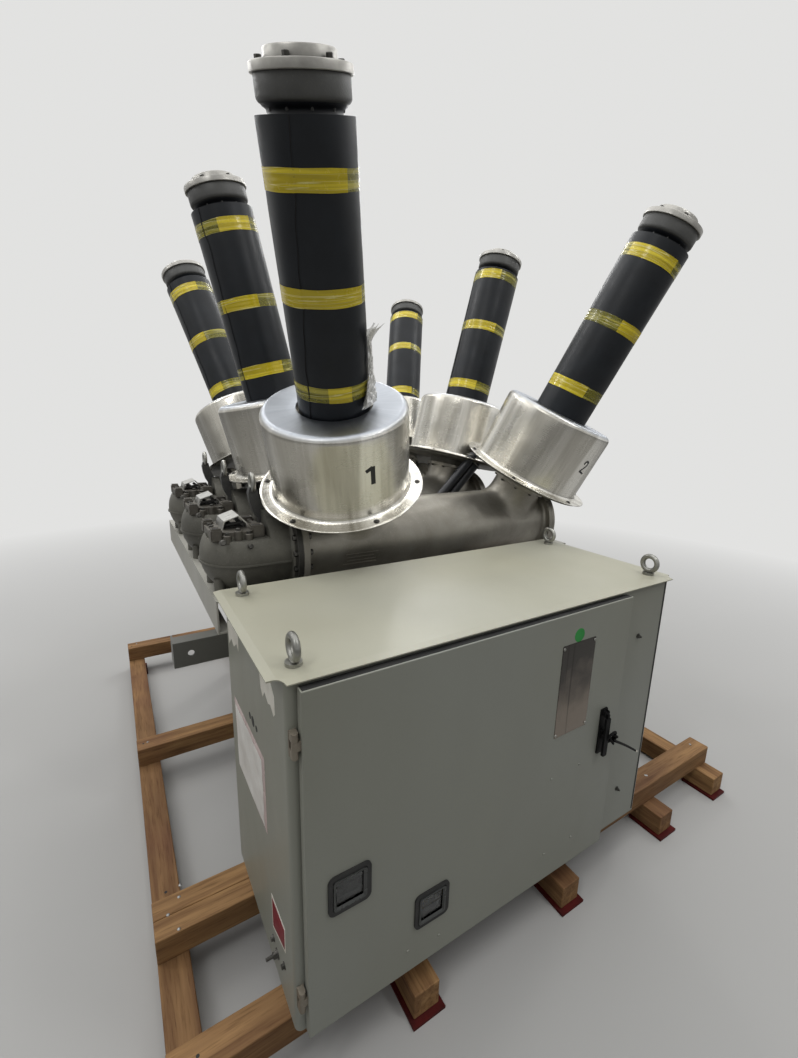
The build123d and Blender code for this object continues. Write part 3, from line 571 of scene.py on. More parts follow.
def grid(columns, rows, at):
    """A sheet of faces through at(u, v), u and v from 0 to 1."""
    points = [tuple(at(i / columns, j / rows)) for j in range(rows + 1) for i in range(columns + 1)]
    wide = columns + 1
    faces = [(j * wide + i, j * wide + i + 1, (j + 1) * wide + i + 1, (j + 1) * wide + i)
             for j in range(rows) for i in range(columns)]
    return points, faces


def thick_grid(columns, rows, at, normal, thickness):
    """A closed sheet: grid() and its copy one thickness against the normal."""
    def under(u, v):
        return Vector(at(u, v)) - Vector(normal) * thickness
    points, faces = grid(columns, rows, at)
    low, more = grid(columns, rows, under)
    start, wide = len(points), columns + 1
    faces += [tuple(reversed([i + start for i in face])) for face in more]
    border = [(j * wide) for j in range(rows + 1)]
    border += [rows * wide + i for i in range(1, columns + 1)]
    border += [j * wide + columns for j in range(rows - 1, -1, -1)]
    border += [i for i in range(columns - 1, 0, -1)]
    for a, b in zip(border, border[1:] + border[:1]):
        faces.append((a, b, b + start, a + start))
    return points + low, faces


def prism(first, second):
    """A closed body between two outlines with as many points."""
    count = len(first)
    caps = [tuple(range(count)), tuple(reversed(range(count, 2 * count)))]
    return first + second, caps + between(rings_of(2, count))


def frame_ring(width, height, border, radius, depth=4):
    """A square ring with rounded corners and a sloped inner face, from Z 0 up."""
    def outline(w, h, r, z):
        loop = []
        for cx, cy, start in ((1, 1, 0), (-1, 1, 90), (-1, -1, 180), (1, -1, 270)):
            for n in range(6):
                turn = radians(start + 18 * n)
                loop.append((cx * (w / 2 - r) + r * cos(turn), cy * (h / 2 - r) + r * sin(turn), z))
        return loop
    loops = [outline(width, height, radius, 0), outline(width, height, radius, depth),
             outline(width - border, height - border, radius * 0.8, depth),
             outline(width - 2 * border, height - 2 * border, radius * 0.5, 0)]
    return [p for loop in loops for p in loop], between(rings_of(len(loops), len(loops[0])), closed=True)


def spot(x, y, z):
    return Matrix.Translation(Vector((x, y, z)))


def turned(degrees, axis):
    return Matrix.Rotation(radians(degrees), 4, axis)


def facing(axis, place):
    """A matrix that stands Z along an axis at a place."""
    return spot(*place) @ Vector(axis).to_track_quat("Z", "Y").to_matrix().to_4x4()


def on_front(y, *spots):
    """Matrices that face out of the cabinet's front at (X, Z) spots."""
    return [facing((0, -1, 0), (x, y, z)) for x, z in spots]


def on_left(*spots):
    """Matrices that face out of the cabinet's left wall at (Y, Z) spots."""
    return [facing((-1, 0, 0), (CABINET_LEFT, y, z)) for y, z in spots]


def ring_places(radius, height, count, first=0.0):
    """Matrices round a circle about Z, X outward."""
    return [turned(first + 360 * n / count, "Z") @ spot(radius, 0, height) for n in range(count)]


def neck_root(side):
    """The foot of a branch neck in its pole's frame, Z along the bushing."""
    return spot(NECK_X[side], 0, 0) @ turned(side * TILT, "Y")


LAY = Matrix.Rotation(pi / 2, 4, "Y")
FLIP = Matrix.Rotation(pi, 4, "X")
POLES = [spot(0, y, TANK_Z) @ turned(fan, "X") for y, fan in zip(POLE_Y, FAN)]


class Neck:
    """One branch neck with its sleeve: azimuths of the sleeve's seam and what is taped where."""

    def __init__(self, pole, side, seam, tapes, tape_ends):
        self.pole, self.side = pole, side
        self.name = f"{pole + 1}{'L' if side < 0 else 'R'}"
        self.place = POLES[pole] @ neck_root(side)
        self.seam_top, self.seam_foot = seam
        self.tapes, self.tape_ends = tapes, tape_ends

    def hold(self, kind, look, slot, shape, **rest):
        """Makes a shape into this neck's piece of a kind."""
        shape.make(f"{kind}_{self.name}", look, slot, place=self.place, **rest)

    def seam(self, height):
        """The azimuth of the sleeve's lapped edge, which runs a little askew."""
        wander = 1.3 * sin(height / 47 + self.pole) + 0.8 * sin(height / 21 + self.side)
        slope = (self.seam_foot - self.seam_top) * (WRAP_TOP - height) / SEAM_LENGTH
        return radians(self.seam_top + slope + wander)

    def wrap(self, turn, height):
        """The radius of the sleeve's outside: its lapped edge, soft folds and the pull of the tapes."""
        lap = 3.0 * ((turn - self.seam(height)) % FULL_TURN) / FULL_TURN
        phase = self.pole * 2.1 + self.side
        folds = 0.5 * sin(3 * turn + height / 190 + phase)
        folds += 0.35 * sin(7 * turn - height / 120 + 2 * phase)
        pull = min(sum(exp(-((height - tape_height) / 34) ** 2) for tape_height in self.tapes), 1)
        return SLEEVE_RADIUS + lap + folds * (1 - 0.7 * pull) - 0.6 * pull


# Pole, side, seam azimuths at top and foot, heights of the tapes and azimuths where the doubled ones end
NECKS = [Neck(*row) for row in (
    (0, -1, (-128, -151), (1262, 988, 700), (-66, -50, -82)),
    (0, 1, (60, 40), (1318, 1040, 745), (-96, -70, -120)),
    (1, -1, (-150, -160), (1315, 1024, 741), (-58, -84, -70)),
    (1, 1, (150, 165), (1350, 1061, 723), (-118, -98, -112)),
    (2, -1, (200, 190), (1322, 1024, 720), (-88, -118, -126)),
    (2, 1, (-40, -60), (1355, 1088, 740), (-80, -100, -90)),
)]


def ct_profile():
    """Rolled lip, coved foot, straight wall, round shoulder, turned-in hole edge."""
    wall, lip, cove, shoulder, bore, depth = CT_RADIUS, CT_FLANGE_RADIUS, 16, 26, 98.3, 39.9
    profile = [(bore, CT_BASE + 0.1), (lip - 2.4, CT_BASE + 0.1)]
    profile += rounded((lip - 2.5, CT_BASE + 2.5), 2.4, -90, 90)
    profile += [(lip - 12, CT_BASE + 4.9), (lip - 16, CT_BASE + 4.6), (wall + cove + 3, CT_BASE + 4.8)]
    profile += rounded((wall + cove, CT_BASE + 5 + cove), cove, -90, -180)
    tall = CT_TOP - 60 - CT_BASE
    profile += [(wall + 0.2 * sin(n * 1.3), CT_BASE + 30 + n * tall / 12) for n in range(12)]
    profile += rounded((wall - shoulder, CT_TOP - shoulder), shoulder, 0, 90, 10)
    profile += [(wall - 50, CT_TOP - 0.4), (CT_HOLE + 30, CT_TOP - 0.2)]
    profile += rounded((CT_HOLE + 3, CT_TOP - 3), 3, 90, 180)
    return profile + [(CT_HOLE, CT_TOP - depth), (bore, CT_TOP - depth)]


def make_ct_housings():
    """Spun covers, each a little out of round, with six screws on the lip."""
    profile, lip_top, screw_circle, washer = ct_profile(), CT_BASE + 4.9, 296, 1.2
    for neck in NECKS:
        form = lathe(profile, 128, closed=True, wave=lambda turn: 0.25 * sin(3 * turn + neck.pole))
        neck.hold("ct_cover", SPUN, "aluminium", Shape(form), replaces="ct_housings", angle=40)
        screws = Shape()
        for place in ring_places(screw_circle, lip_top, 6, -88.5):
            screws.add(disc(11, washer, 20), place)
            screws.add(round_screw(7.5, 5), place @ spot(0, 0, washer))
        neck.hold("ct_screws", DARK_BOLT, "galvanised", screws)


def stroke(start, end, width, overlap):
    """One stroke of a number on a housing's wall, as at(u, v) in the neck's frame."""
    (x0, y0), (x1, y1) = start, end
    length = hypot(x1 - x0, y1 - y0)
    ux, uy = (x1 - x0) / length, (y1 - y0) / length
    middle_turn, middle_height = radians(-87), 464

    def at(u, v):
        along = u * length + (2 * u - 1) * overlap * width
        across = (v - 0.5) * width
        turn = middle_turn + (x0 + ux * along - uy * across) / CT_RADIUS
        return polar(CT_RADIUS + 0.75, turn, middle_height + y0 + uy * along + ux * across)
    return at


def make_numbers():
    """The plain position numbers on the two front covers: a stencilled one and a brushed two."""
    one = [((-22, 21), (3, 33), 13, 0), ((4, 36), (4, -33), 17, 0)]
    bends = [(-13, 15), (-12, 23), (-5, 29), (4, 29), (11, 24), (12, 16), (8, 6), (-2, -6), (-15, -20),
             (-16, -24), (-8, -25), (4, -28), (14, -30)]
    two = [(start, end, 8.5, 0.35) for start, end in zip(bends, bends[1:])]
    for neck, strokes in zip(NECKS, (one, two)):
        shape = Shape(*(grid(4, 3, stroke(*row)) for row in strokes))
        neck.hold("number", INK, "black_plastic", shape, angle=180)


def make_wraps():
    """Each sleeve is one sheet wound round the stem, drawn from its inner edge to its outer one; a thin dark
    strip of painted shade runs along its lapped edge.
    """
    low, high, inner = SLEEVE_FOOT, WRAP_TOP, 99
    whole = FULL_TURN * 0.99999
    columns, rows = 160, 90
    for neck in NECKS:
        def skin(height, u):
            return neck.wrap(neck.seam(height) + u * whole, height)

        def at(u, v):
            height = low + (high - low) * v
            return polar(skin(height, u), neck.seam(height) + u * whole, height)

        def rim(height):
            def face(u, v):
                radius = inner + (skin(height, u) - inner) * v
                return polar(radius, neck.seam(height) + u * FULL_TURN, height)
            return face

        def lap(u, v):
            height = low + (high - low) * v
            start, end = skin(height, 0), skin(height, 1)
            return polar(start + (end - start) * u, neck.seam(height), height)

        # A thin dark strip along the lapped edge: painted shade of the sheet's small step.
        def shade(u, v):
            height = low + 1 + (high - low - 2) * v
            seam = neck.seam(height)
            radius = neck.wrap(seam + 0.001, height) + 0.35 + 1.4 * (1 - u)
            return polar(radius, seam + (u - 0.5) * 0.016, height)
        sleeve = Shape(grid(columns, rows, at), grid(columns, 1, rim(low)), grid(columns, 1, rim(high)))
        sleeve.add(grid(1, rows, lap))
        neck.hold("wrap", FILM, "wrap_film", sleeve, replaces="bushing_wraps", angle=50)
        neck.hold("wrap_lap_shade", RECESS_SHADE, "wrap_film", Shape(grid(2, rows, shade)), angle=180)


def tape_band(neck, middle, tilt, phase, start, spread, lift, width):
    """A tape round a sleeve, as at(u, v): askew, rippled, and a doubled one lifts at its free end."""
    free_end, seam_step, seam_reach = 0.93, 0.4, 0.2

    def at(u, v):
        turn = start + u * spread
        height = middle + tilt * sin(turn + phase) + (v - 0.5) * width
        height += sin(6 * turn + phase) * (v - 0.5)
        ripple = 0.7 * abs(sin(v * 11 + 0.7 * sin(2.6 * turn + phase))) * (0.4 + 0.6 * u)
        if lift > 1 and u > free_end:
            ripple += (u - free_end) * (20 + 30 * v)
        over_seam = seam_step if abs(turn - neck.seam(height)) < seam_reach else 0
        return polar(neck.wrap(turn, middle) + lift + ripple + over_seam, turn, height)
    return at


def make_tapes():
    """A band of clear yellow tape at each place, doubled over part of the turn."""
    for neck in NECKS:
        chance = random.Random(f"{neck.pole}{neck.side}")
        thin, double = Shape(), Shape()
        for middle, end in zip(neck.tapes, neck.tape_ends):
            tilt, phase = chance.uniform(1, 4), chance.uniform(0, 6)
            reach = radians(chance.uniform(55, 100))
            if neck.name == "1L":
                reach = radians(35 if middle < 800 else 140)
            band = (neck, middle, tilt, phase)
            thin.add(grid(150, 22, tape_band(*band, -pi / 2, FULL_TURN, 0.7, 50)))
            double.add(grid(60, 22, tape_band(*band, radians(end) - reach, reach, 1.5, 51)))
        neck.hold("tape", TAPE_THIN, "wrap_film", thin, angle=180)
        neck.hold("tape_double", TAPE, "wrap_film", double, angle=180)


def make_clear_film():
    """The crumpled clear plastic caught on the front left sleeve, wide at its foot and its loose top."""
    chance = random.Random(5)
    neck = NECKS[0]
    shape = Shape()
    for strip in range(3):
        offset = [[chance.uniform(-1, 1) for _ in range(15)] for _ in range(9)]

        def crumple(u, v):
            i, j = u * 8, v * 14
            a, b = min(int(i), 7), min(int(j), 13)
            fu, fv = i - a, j - b
            return (offset[a][b] * (1 - fu) * (1 - fv) + offset[a + 1][b] * fu * (1 - fv)
                    + offset[a][b + 1] * (1 - fu) * fv + offset[a + 1][b + 1] * fu * fv)

        def at(u, v):
            rough = crumple(u, v)
            foot = max(0, 1 - v / 0.36) ** 0.5
            half = 5 + 15 * foot + 12 * max(0, (v - 0.76) / 0.24)
            turn = -36 - 14 * foot + (2 * u - 1) * half
            turn = radians(turn + 2 * strip * (1 - v) + 2 * sin(9 * v + strip))
            away = (14 + 14 * strip) * max(0, (v - 0.78) / 0.22) ** 1.5 + 4 * sin(pi * v)
            radius = neck.wrap(turn, 750) + 3 + 3 * strip + 8 * (rough + 1) * half / 16
            return polar(radius + away * (0.4 + 0.6 * u), turn, 640 + 250 * v + 6 * rough)
        shape.add(grid(24, 56, at))
    neck.hold("clear_film", CLEAR, "wrap_film", shape, angle=25)


def make_waists():
    """The black stem where it shows between sleeve and cup."""
    waist = [(0, WRAP_TOP - 6), (97, WRAP_TOP - 6), (95, WRAP_TOP + 2), (95, WRAP_TOP + 6)]
    waist += rounded((104, WRAP_TOP + 6), 9, 180, 120, 4)
    waist += [(106, CUP_BASE - 2), (110, CUP_BASE + 3), (0, CUP_BASE + 3)]
    for neck in NECKS:
        neck.hold("waist", STEM, "stem", Shape(lathe(waist)), replaces="bushing_cups", angle=40)


def make_cups():
    """The cast cups, each on ten studs that lean out a little."""
    count, first = 10, 8
    cup = [(0, CUP_BASE), (102, CUP_BASE)]
    cup += rounded((CAP_RIM_RADIUS - 21, CUP_BASE + 15), 14, -80, 0)
    cup += [(118, CAP_BASE - 2), (117, CAP_BASE), (0, CAP_BASE)]
    for neck in NECKS:
        shape = Shape(lathe(cup))
        for n in range(count):
            turn = radians(360 / count * n + first)
            shape.add(tube([polar(94, turn, CUP_BASE - 13), polar(97, turn, CUP_BASE + 3)], 4))
        neck.hold("cup", CUP_GREY, "cast_aluminium", shape, replaces="bushing_cups", angle=40)


def make_caps():
    """The terminal flange with its round plate and six bolts."""
    rim, plate, shelf = CAP_RIM_RADIUS, CAP_RADIUS, CAP_BASE + CAP_RIM
    cap = [(0, CAP_BASE), (rim - 1.5, CAP_BASE), (rim, CAP_BASE + 1.5), (rim, shelf - 3),
           (rim - 1, shelf - 0.8), (rim - 3, shelf), (plate + 3, shelf), (plate, shelf + 2),
           (plate, CAP_TOP - 3), (plate - 2.5, CAP_TOP), (0, CAP_TOP)]
    for neck in NECKS:
        neck.hold("cap", CAP_METAL, "aluminium", Shape(lathe(cap)), replaces="bushing_caps", angle=40)
        bolts = Shape().add(hex_bolt(15, 12, 2, 1.5), *ring_places(plate + 12, shelf, 6, -8))
        neck.hold("terminal_bolts", DARK_BOLT, "galvanised", bolts)


def coved_flange(face, back, rim, barrel, cove=14):
    """Profile points (radius, place) of a flange from its face to the barrel, way by way."""
    way = 1 if back > face else -1
    points = [(rim - 1.5, face), (rim, face + 1.5 * way), (rim, back - 1.5 * way), (rim - 1.5, back)]
    centre = (barrel + cove, back + cove * way)
    return points + rounded(centre, cove, -90 * way, -180 * way)


def neck_sheet(side):
    """A branch neck that flows into the barrel, as at(u, v) in the pole's frame."""
    neck = neck_root(side)
    down = turned(side * TILT, "Y") @ Vector((0, 0, -1))
    landing, seat = 176, TANK_RADIUS - 0.6
    middle = NECK_X[side] + side * TANK_RADIUS * tan(radians(TILT)) * 0.55

    def at(u, v):
        turn = FULL_TURN * u
        top = neck @ Vector(polar(NECK_RADIUS, turn, NECK_TOP + 0.5))
        over = landing * sin(turn) / TANK_RADIUS
        low = Vector((middle + landing * cos(turn), seat * sin(over), seat * cos(over)))
        out = Vector((cos(turn), sin(turn) * cos(over), -sin(turn) * sin(over)))
        span = (top - low).length
        a, b = top + down * span * 0.5, low - out * span * 0.42
        w = 1 - v
        return top * w ** 3 + a * 3 * w * w * v + b * 3 * w * v * v + low * v ** 3
    return at


def scallop(turn):
    """Draws the right neck's ring in between its bolts."""
    return -7 * abs(sin(5 * turn)) ** 1.6


def on_pole(index, kind, look, slot, shape, **rest):
    """Makes a shape into one pole's piece of a kind."""
    shape.make(f"{kind}_{index + 1}", look, slot, place=POLES[index], **rest)


def make_tanks():
    """Each cast tank: barrel, coved flanges and two necks with their rings."""
    profile = [(0, JOINT_X)] + coved_flange(JOINT_X, JOINT_X + TANK_FLANGE, TANK_FLANGE_RADIUS, TANK_RADIUS)
    right = coved_flange(TANK_RIGHT, TANK_RIGHT - 20, END_COVER_RADIUS, TANK_RADIUS)
    profile += list(reversed(right)) + [(0, TANK_RIGHT)]
    high, inner = NECK_TOP + NECK_RING, 60
    for index in range(3):
        shape = Shape().add(lathe(profile, 128), LAY)
        for side, ring, wave in ((-1, 128, None), (1, 136, scallop)):
            outline = [(inner, NECK_TOP), (ring - 1.5, NECK_TOP), (ring, NECK_TOP + 1.5), (ring, high - 1),
                       (ring - 1, high - 0.2), (inner, high - 0.2)]
            shape.add(grid(96, 20, neck_sheet(side)))
            shape.add(lathe(outline, 120, wave=wave), neck_root(side))
        on_pole(index, "tank_body", TANK_CASTING, "casting", shape, replaces=f"tank_{index + 1}", angle=38)


def make_cast_lines():
    """Four raised bars on the shoulder of each tank, set off from each other and unequal in length."""
    start, pitch, length, inset, shift = -350, 15, 150, 14, 6
    for index, angle in enumerate((84, 76, 76)):
        bars = Shape()
        for row in range(4):
            bar = spot(start + shift * (row % 2), (row - 1.5) * pitch, TANK_RADIUS - 2.4)
            bars.add(slab(length - inset * (row % 3), 5, 4.4, 1.2), turned(angle, "X") @ bar)
        on_pole(index, "cast_lines", TANK_CASTING, "casting", bars)


def make_flange_rims():
    """The bare turned rim of each tank flange and the drive flange that it is bolted to, darkened as painted
    shade.
    """
    start, high, edge = JOINT_X, JOINT_X + TANK_FLANGE, TANK_FLANGE_RADIUS - 1
    skin, inner, back = TANK_FLANGE_RADIUS + 0.7, TANK_RADIUS + 1, JOINT_X - 20.6
    bright = [(edge, start + 2), (skin, start + 3), (skin, high - 3), (edge, high - 2)]
    dark = [(inner, back), (edge, back), (skin - 0.1, back + 1.6), (skin - 0.1, start - 1), (edge, start),
            (inner, start)]
    for kind, look, slot, profile in (("flange_rim", RIM_METAL, "aluminium", bright),
                                      ("drive_flange", PAINTED_SHADE_CASTING, "casting", dark)):
        for index in range(3):
            on_pole(index, kind, look, slot, Shape().add(lathe(profile, 128, closed=True), LAY))


def make_drive_bodies():
    """Each drive housing with its joint flange drawn in to the tank's flange."""
    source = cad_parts["drive_housings"]
    mesh = source.data.copy()
    world = source.matrix_world
    back = world.inverted()
    for vertex in mesh.vertices:
        place = world @ vertex.co
        if place.x > (CAD_JOINT_X - 40) * MM:
            place.x += (JOINT_X - CAD_JOINT_X) * MM
            vertex.co = back @ place
    body = linked("drive_bodies", mesh)
    body.matrix_world = world.copy()
    mesh.materials.clear()
    mesh.materials.append(CASTING)
    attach(body, "frame")
    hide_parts("drive_housings")


def make_tank_bolts():
    """Flange bolts on both sides of each joint, end cover bolts and the right neck's ring bolts."""
    joint_circle, cover_circle, ring_circle = 189, 178, 130
    rows = ((JOINT_X - 20, -1, 20, joint_circle), (JOINT_X + TANK_FLANGE, 1, 20, joint_circle),
            (TANK_RIGHT + END_COVER, 1, 12, cover_circle))
    for index in range(3):
        shape = Shape()
        for x, way, count, reach in rows:
            for n in range(count):
                turn = FULL_TURN * (n + 0.5) / count
                place = (x, reach * cos(turn), reach * sin(turn))
                shape.add(hex_bolt(19, 13, 2.5, 1.4), facing((way, 0, 0), place))
        for place in ring_places(ring_circle, NECK_TOP, 10):
            shape.add(hex_bolt(12, 8, 1.5, 1.3), neck_root(1) @ place @ FLIP)
        on_pole(index, "tank_bolts", DARK_BOLT, "galvanised", shape)


def make_lugs():
    """The forged lifting rings, each on a dark cast web that widens towards the tank."""
    outline = [(-712, 1322), (-684, 1322), (-684, 1368), (-696, 1392), (-708, 1420), (-714, 1456),
               (-722, 1462), (-742, 1462), (-748, 1440), (-744, 1408), (-734, 1372), (-718, 1344)]
    ring_x, ring_z, half_width, half_height = -730, 1480, 27, 32
    for index, y in enumerate(POLE_Y):
        def ring(t):
            turn = FULL_TURN * t
            return (ring_x, y + half_width * sin(turn), ring_z + half_height * cos(turn))
        Shape(tube(path_of(40, ring), 8.5, 14)).make(f"lug_ring_{index + 1}", ZINC, "galvanised",
                                                     replaces="lifting_lugs", angle=50)
        web = prism(*([(x, y + half, z) for x, z in outline] for half in (-15, 15)))
        Shape(web).make(f"lug_web_{index + 1}", WEB_STEEL, "casting", replaces="lifting_lugs")


def make_conduits():
    """The two stout wiring pipes that rise from the tray to the middle pole's right housing."""
    pipes, clips = Shape(), Shape()
    y, foot, knee, bend = -95, 1001, 1270, 90
    for x, reach in ((318, 292), (388, 228)):
        path = [(x, y, foot), (x, y, knee)]
        for k in range(1, 9):
            turn = radians(45 * k / 8)
            path.append((x + bend * (1 - cos(turn)), y, knee + bend * sin(turn)))
        last = path[-1]
        path.append((last[0] + reach * sin(pi / 4), y, last[2] + reach * cos(pi / 4)))
        pipes.add(tube(path, 24, 24))
        clips.add(slab(56, 56, 3), facing((1, 0, 1), Vector(path[-1]) - Vector((14, 0, 14))))
    pipes.make("conduit_pipes", CONDUIT, "conduit", replaces="conduits", angle=40)
    clips.make("conduit_clips", SHEET_BRIGHT, "galvanised")


def cover_blocks():
    """Corner blocks with raised rims, dark patches of painted shade inside the rims, bolted bosses and a rib,
    round a drive cover's centre.
    """
    blocks, sockets, bolts = Shape(), Shape(), Shape()
    block_foot, block_top, boss_foot = -32, 12, -38
    for x, y, wide in ((-78, -82, 38), (66, -78, 50), (-78, 82, 38), (66, 78, 50)):
        blocks.add(slab(wide, 44, block_top - block_foot, 4), spot(x, y, block_foot))
        blocks.add(frame_ring(wide - 6, 36, 6, 3), spot(x, y, block_top))
        # A flat dark patch inside each rim: painted shade of the block's hollow.
        sockets.add(slab(wide - 18, 24, 1.2, 0.4), spot(x, y, block_top))
    for x, y, tall in ((-6, -112, 44), (-6, 112, 44), (-44, -110, 30), (30, -112, 30)):
        boss = lathe([(0, 0), (15, 0), (15, tall - 3), (12, tall), (0, tall)], 24)
        blocks.add(boss, spot(x, y, boss_foot))
        bolts.add(hex_bolt(14, 9, 2, 1.4), spot(x, y, boss_foot + tall))
    for x, y in ((-78, -44), (-78, 0), (-78, 44), (70, -36), (70, 36)):
        bolts.add(hex_bolt(14, 9, 2, 1.4), spot(x, y, 0))
    blocks.add(slab(14, 120, 9, 2), spot(70, 0, 0))
    for x, z, size in ((-68, -26, 11), (24, -50, 9)):
        bolts.add(lathe([(0, 0), (size, 0), (size, 22), (size - 3, 25), (0, 25)], 16),
                  facing((0, -1, 0.25), (x, -140, z)))
    return blocks, sockets, bolts


def hood_works():
    """The linkage in the hood's open front: a plate, a cross rod and two bars."""
    works = Shape().add(slab(66, 84, 6), spot(-8, 0, 0))
    for start, end, radius in (((-36, -48, 14), (26, -48, 22), 5), ((-20, -40, 16), (-20, 46, 16), 7),
                               ((16, -40, 20), (16, 46, 20), 7)):
        works.add(tube([start, end], radius))
    return works


def make_drive_details():
    """The castings, bolts and linkage on each drive cover; the linkage in the hood's opening is coloured as
    painted shade.
    """
    for index, y in enumerate(POLE_Y):
        place = spot(COVER_X, y, TANK_Z + COVER_TOP)
        blocks, sockets, bolts = cover_blocks()
        blocks.make(f"cover_blocks_{index + 1}", COVER_GREY, "casting", place=place)
        sockets.make(f"cover_socket_shade_{index + 1}", RECESS_SHADE, "casting", place=place)
        bolts.make(f"cover_bolts_{index + 1}", DARK_BOLT, "galvanised", place=place)
        # The linkage is a real part, coloured near black as painted shade of the hood's opening.
        hood_works().make(f"hood_works_{index + 1}", RECESS_SHADE, "black_plastic", place=place)


def make_door_details():
    """Plate screws, rivets, a dark strip of painted shade on the door's top face, the green dot and the
    windows' bezels.
    """
    corners = on_front(DOOR_FACE - 1.5, (-63, 766), (-63, 1064), (79, 766), (79, 1064))
    Shape().add(round_screw(5, 3), *corners).make("plate_screws", ZINC, "galvanised", "door")
    rivets = on_front(DOOR_FACE, (-57, 603), (79, 603), (81, 304), (-55, 305), (-596, 273), (-488, 256))
    Shape().add(round_screw(4.5, 2.6), *rivets).make("door_rivets", CABINET_PAINT, "cabinet_paint", "door")
    # The door's top face lies in the roof's shade; this thin dark strip paints that shade.
    edge = Shape().add(slab(1140, 21, 0.8, 0.3), spot(-311.5, -1297.5, 1174.1))
    edge.make("door_top_shade_strip", GASKET, "gasket", "door")
    dot = lathe([(22.5, 0.0), (22.5, 0.35), (0, 0.5)], 48)
    dots = Shape().add(dot, *on_front(DOOR_FACE - 0.05, (3, 1096)))
    dots.make("green_sticker", GREEN, "cabinet_paint", "door")
    windows = on_front(DOOR_FACE - 3, (-774, 604), (-520, 392))
    Shape().add(frame_ring(90, 90, 9, 8), *windows).make("window_bezels", BEZEL, "gasket", "door")


def make_strip_details():
    """The groove beside the door, drawn as a flat dark strip of painted shade, and the two stud bolts on the
    fixed strip.
    """
    # A flat dark strip on the front: painted shade of the groove.
    groove = Shape().add(slab(8, 984, 0.7, 0.2), *on_front(CABINET_FRONT - 0.1, (502, 690)))
    groove.make("front_groove_shade", RECESS_SHADE, "gasket", angle=20)
    screws = Shape()
    for place in on_front(CABINET_FRONT, (372, 994), (377, 349)):
        screws.add(hex_bolt(11, 9, 1.6, 1.7), place)
        screws.add(lathe([(0, 9), (3.4, 9), (3.4, 14), (0, 15)], 14), place)
    screws.make("strip_screws", DARK_BOLT, "galvanised")


def make_pouch():
    """The document pouch on the left wall and the paper in it."""
    corners = ((-729, 850), (-1077, 858), (-1076, 622), (-745, 608))

    def on_wall(u, v, lift):
        near, far = 1 - u, u
        y, z = ((a * near + b * far) * v + (d * near + c * far) * (1 - v) for a, b, c, d in zip(*corners))
        return (CABINET_LEFT - lift, y, z)

    def puff(u, v):
        swell = min(1.0, min(u, v, 1 - u, 1 - v) / 0.08)
        waves = 1.1 * sin(9 * u + 4 * v) * sin(7 * v - 2 * u) + 0.5 * sin(26 * u * v + 3)
        return 0.4 + swell * (3.4 + waves)

    def film_at(u, v):
        return on_wall(u, v, puff(u, v))

    def paper_at(u, v):
        lift = puff(0.05 + 0.9 * u, 0.06 + 0.88 * v) + 0.5
        return on_wall(0.055 + 0.89 * u, 0.055 + 0.89 * v, lift)
    Shape(thick_grid(40, 28, film_at, (-1, 0, 0), 0.3)).make("pouch", POUCH, "black_plastic", angle=50)
    Shape(thick_grid(30, 20, paper_at, (-1, 0, 0), 0.2)).make("pouch_paper", PAPER, "black_plastic", angle=50)


def flat_patch(points, lift=0.5):
    """A thin label on the left wall from its (Y, Z) outline."""
    return prism(*([(x, y, z) for y, z in points] for x in (CABINET_LEFT - lift, CABINET_LEFT + 0.2)))


def make_labels():
    """The torn stickers and the blank red label on the left wall."""
    rear = ((-1066, 1118), (-1112, 1132), (-1168, 1128), (-1196, 1106), (-1197, 1062), (-1186, 1050),
            (-1160, 1066), (-1140, 1058), (-1112, 1074), (-1092, 1050), (-1076, 1066))
    fore = ((-690, 1092), (-742, 1112), (-790, 1114), (-838, 1110), (-832, 1052), (-808, 1066),
            (-770, 1040), (-736, 1052), (-700, 1020))
    edge = ((-1088, 436), (-1210, 448), (-1208, 366), (-1090, 322))
    face = ((-1094, 428), (-1204, 438), (-1202, 372), (-1095, 332))
    for name, look, forms in (("torn_stickers", LABEL_WHITE, (flat_patch(rear), flat_patch(fore))),
                              ("red_label_edge", LABEL_WHITE, (flat_patch(edge),)),
                              ("red_label", RED_LABEL, (flat_patch(face, 0.9),))):
        Shape(*forms).make(name, look, "black_plastic", angle=20)


def make_side_fittings():
    """Three holes, drawn as dark discs of painted shade, two bolts and a stud on the left wall."""
    holes = Shape()
    # Each hole is a flat near-black disc: painted shade of its inside.
    for place, radius in zip(on_left((-938, 904), (-971, 905), (-1008, 905)), (10, 15, 9)):
        holes.add(disc(radius, 0.6), place)
    holes.make("side_hole_shade", RECESS_SHADE, "black_plastic", angle=20)
    fittings = Shape().add(hex_bolt(13, 9, 2, 1.5), *on_left((-1093, 283), (-1192, 305)))
    stud = on_left((-1128, 268))[0]
    fittings.add(hex_bolt(19, 14, 2.5, 1.5), stud)
    fittings.add(lathe([(0, 14), (5, 14), (5, 33), (0, 34)], 16), stud)
    fittings.make("side_fittings", DARK_BOLT, "galvanised")


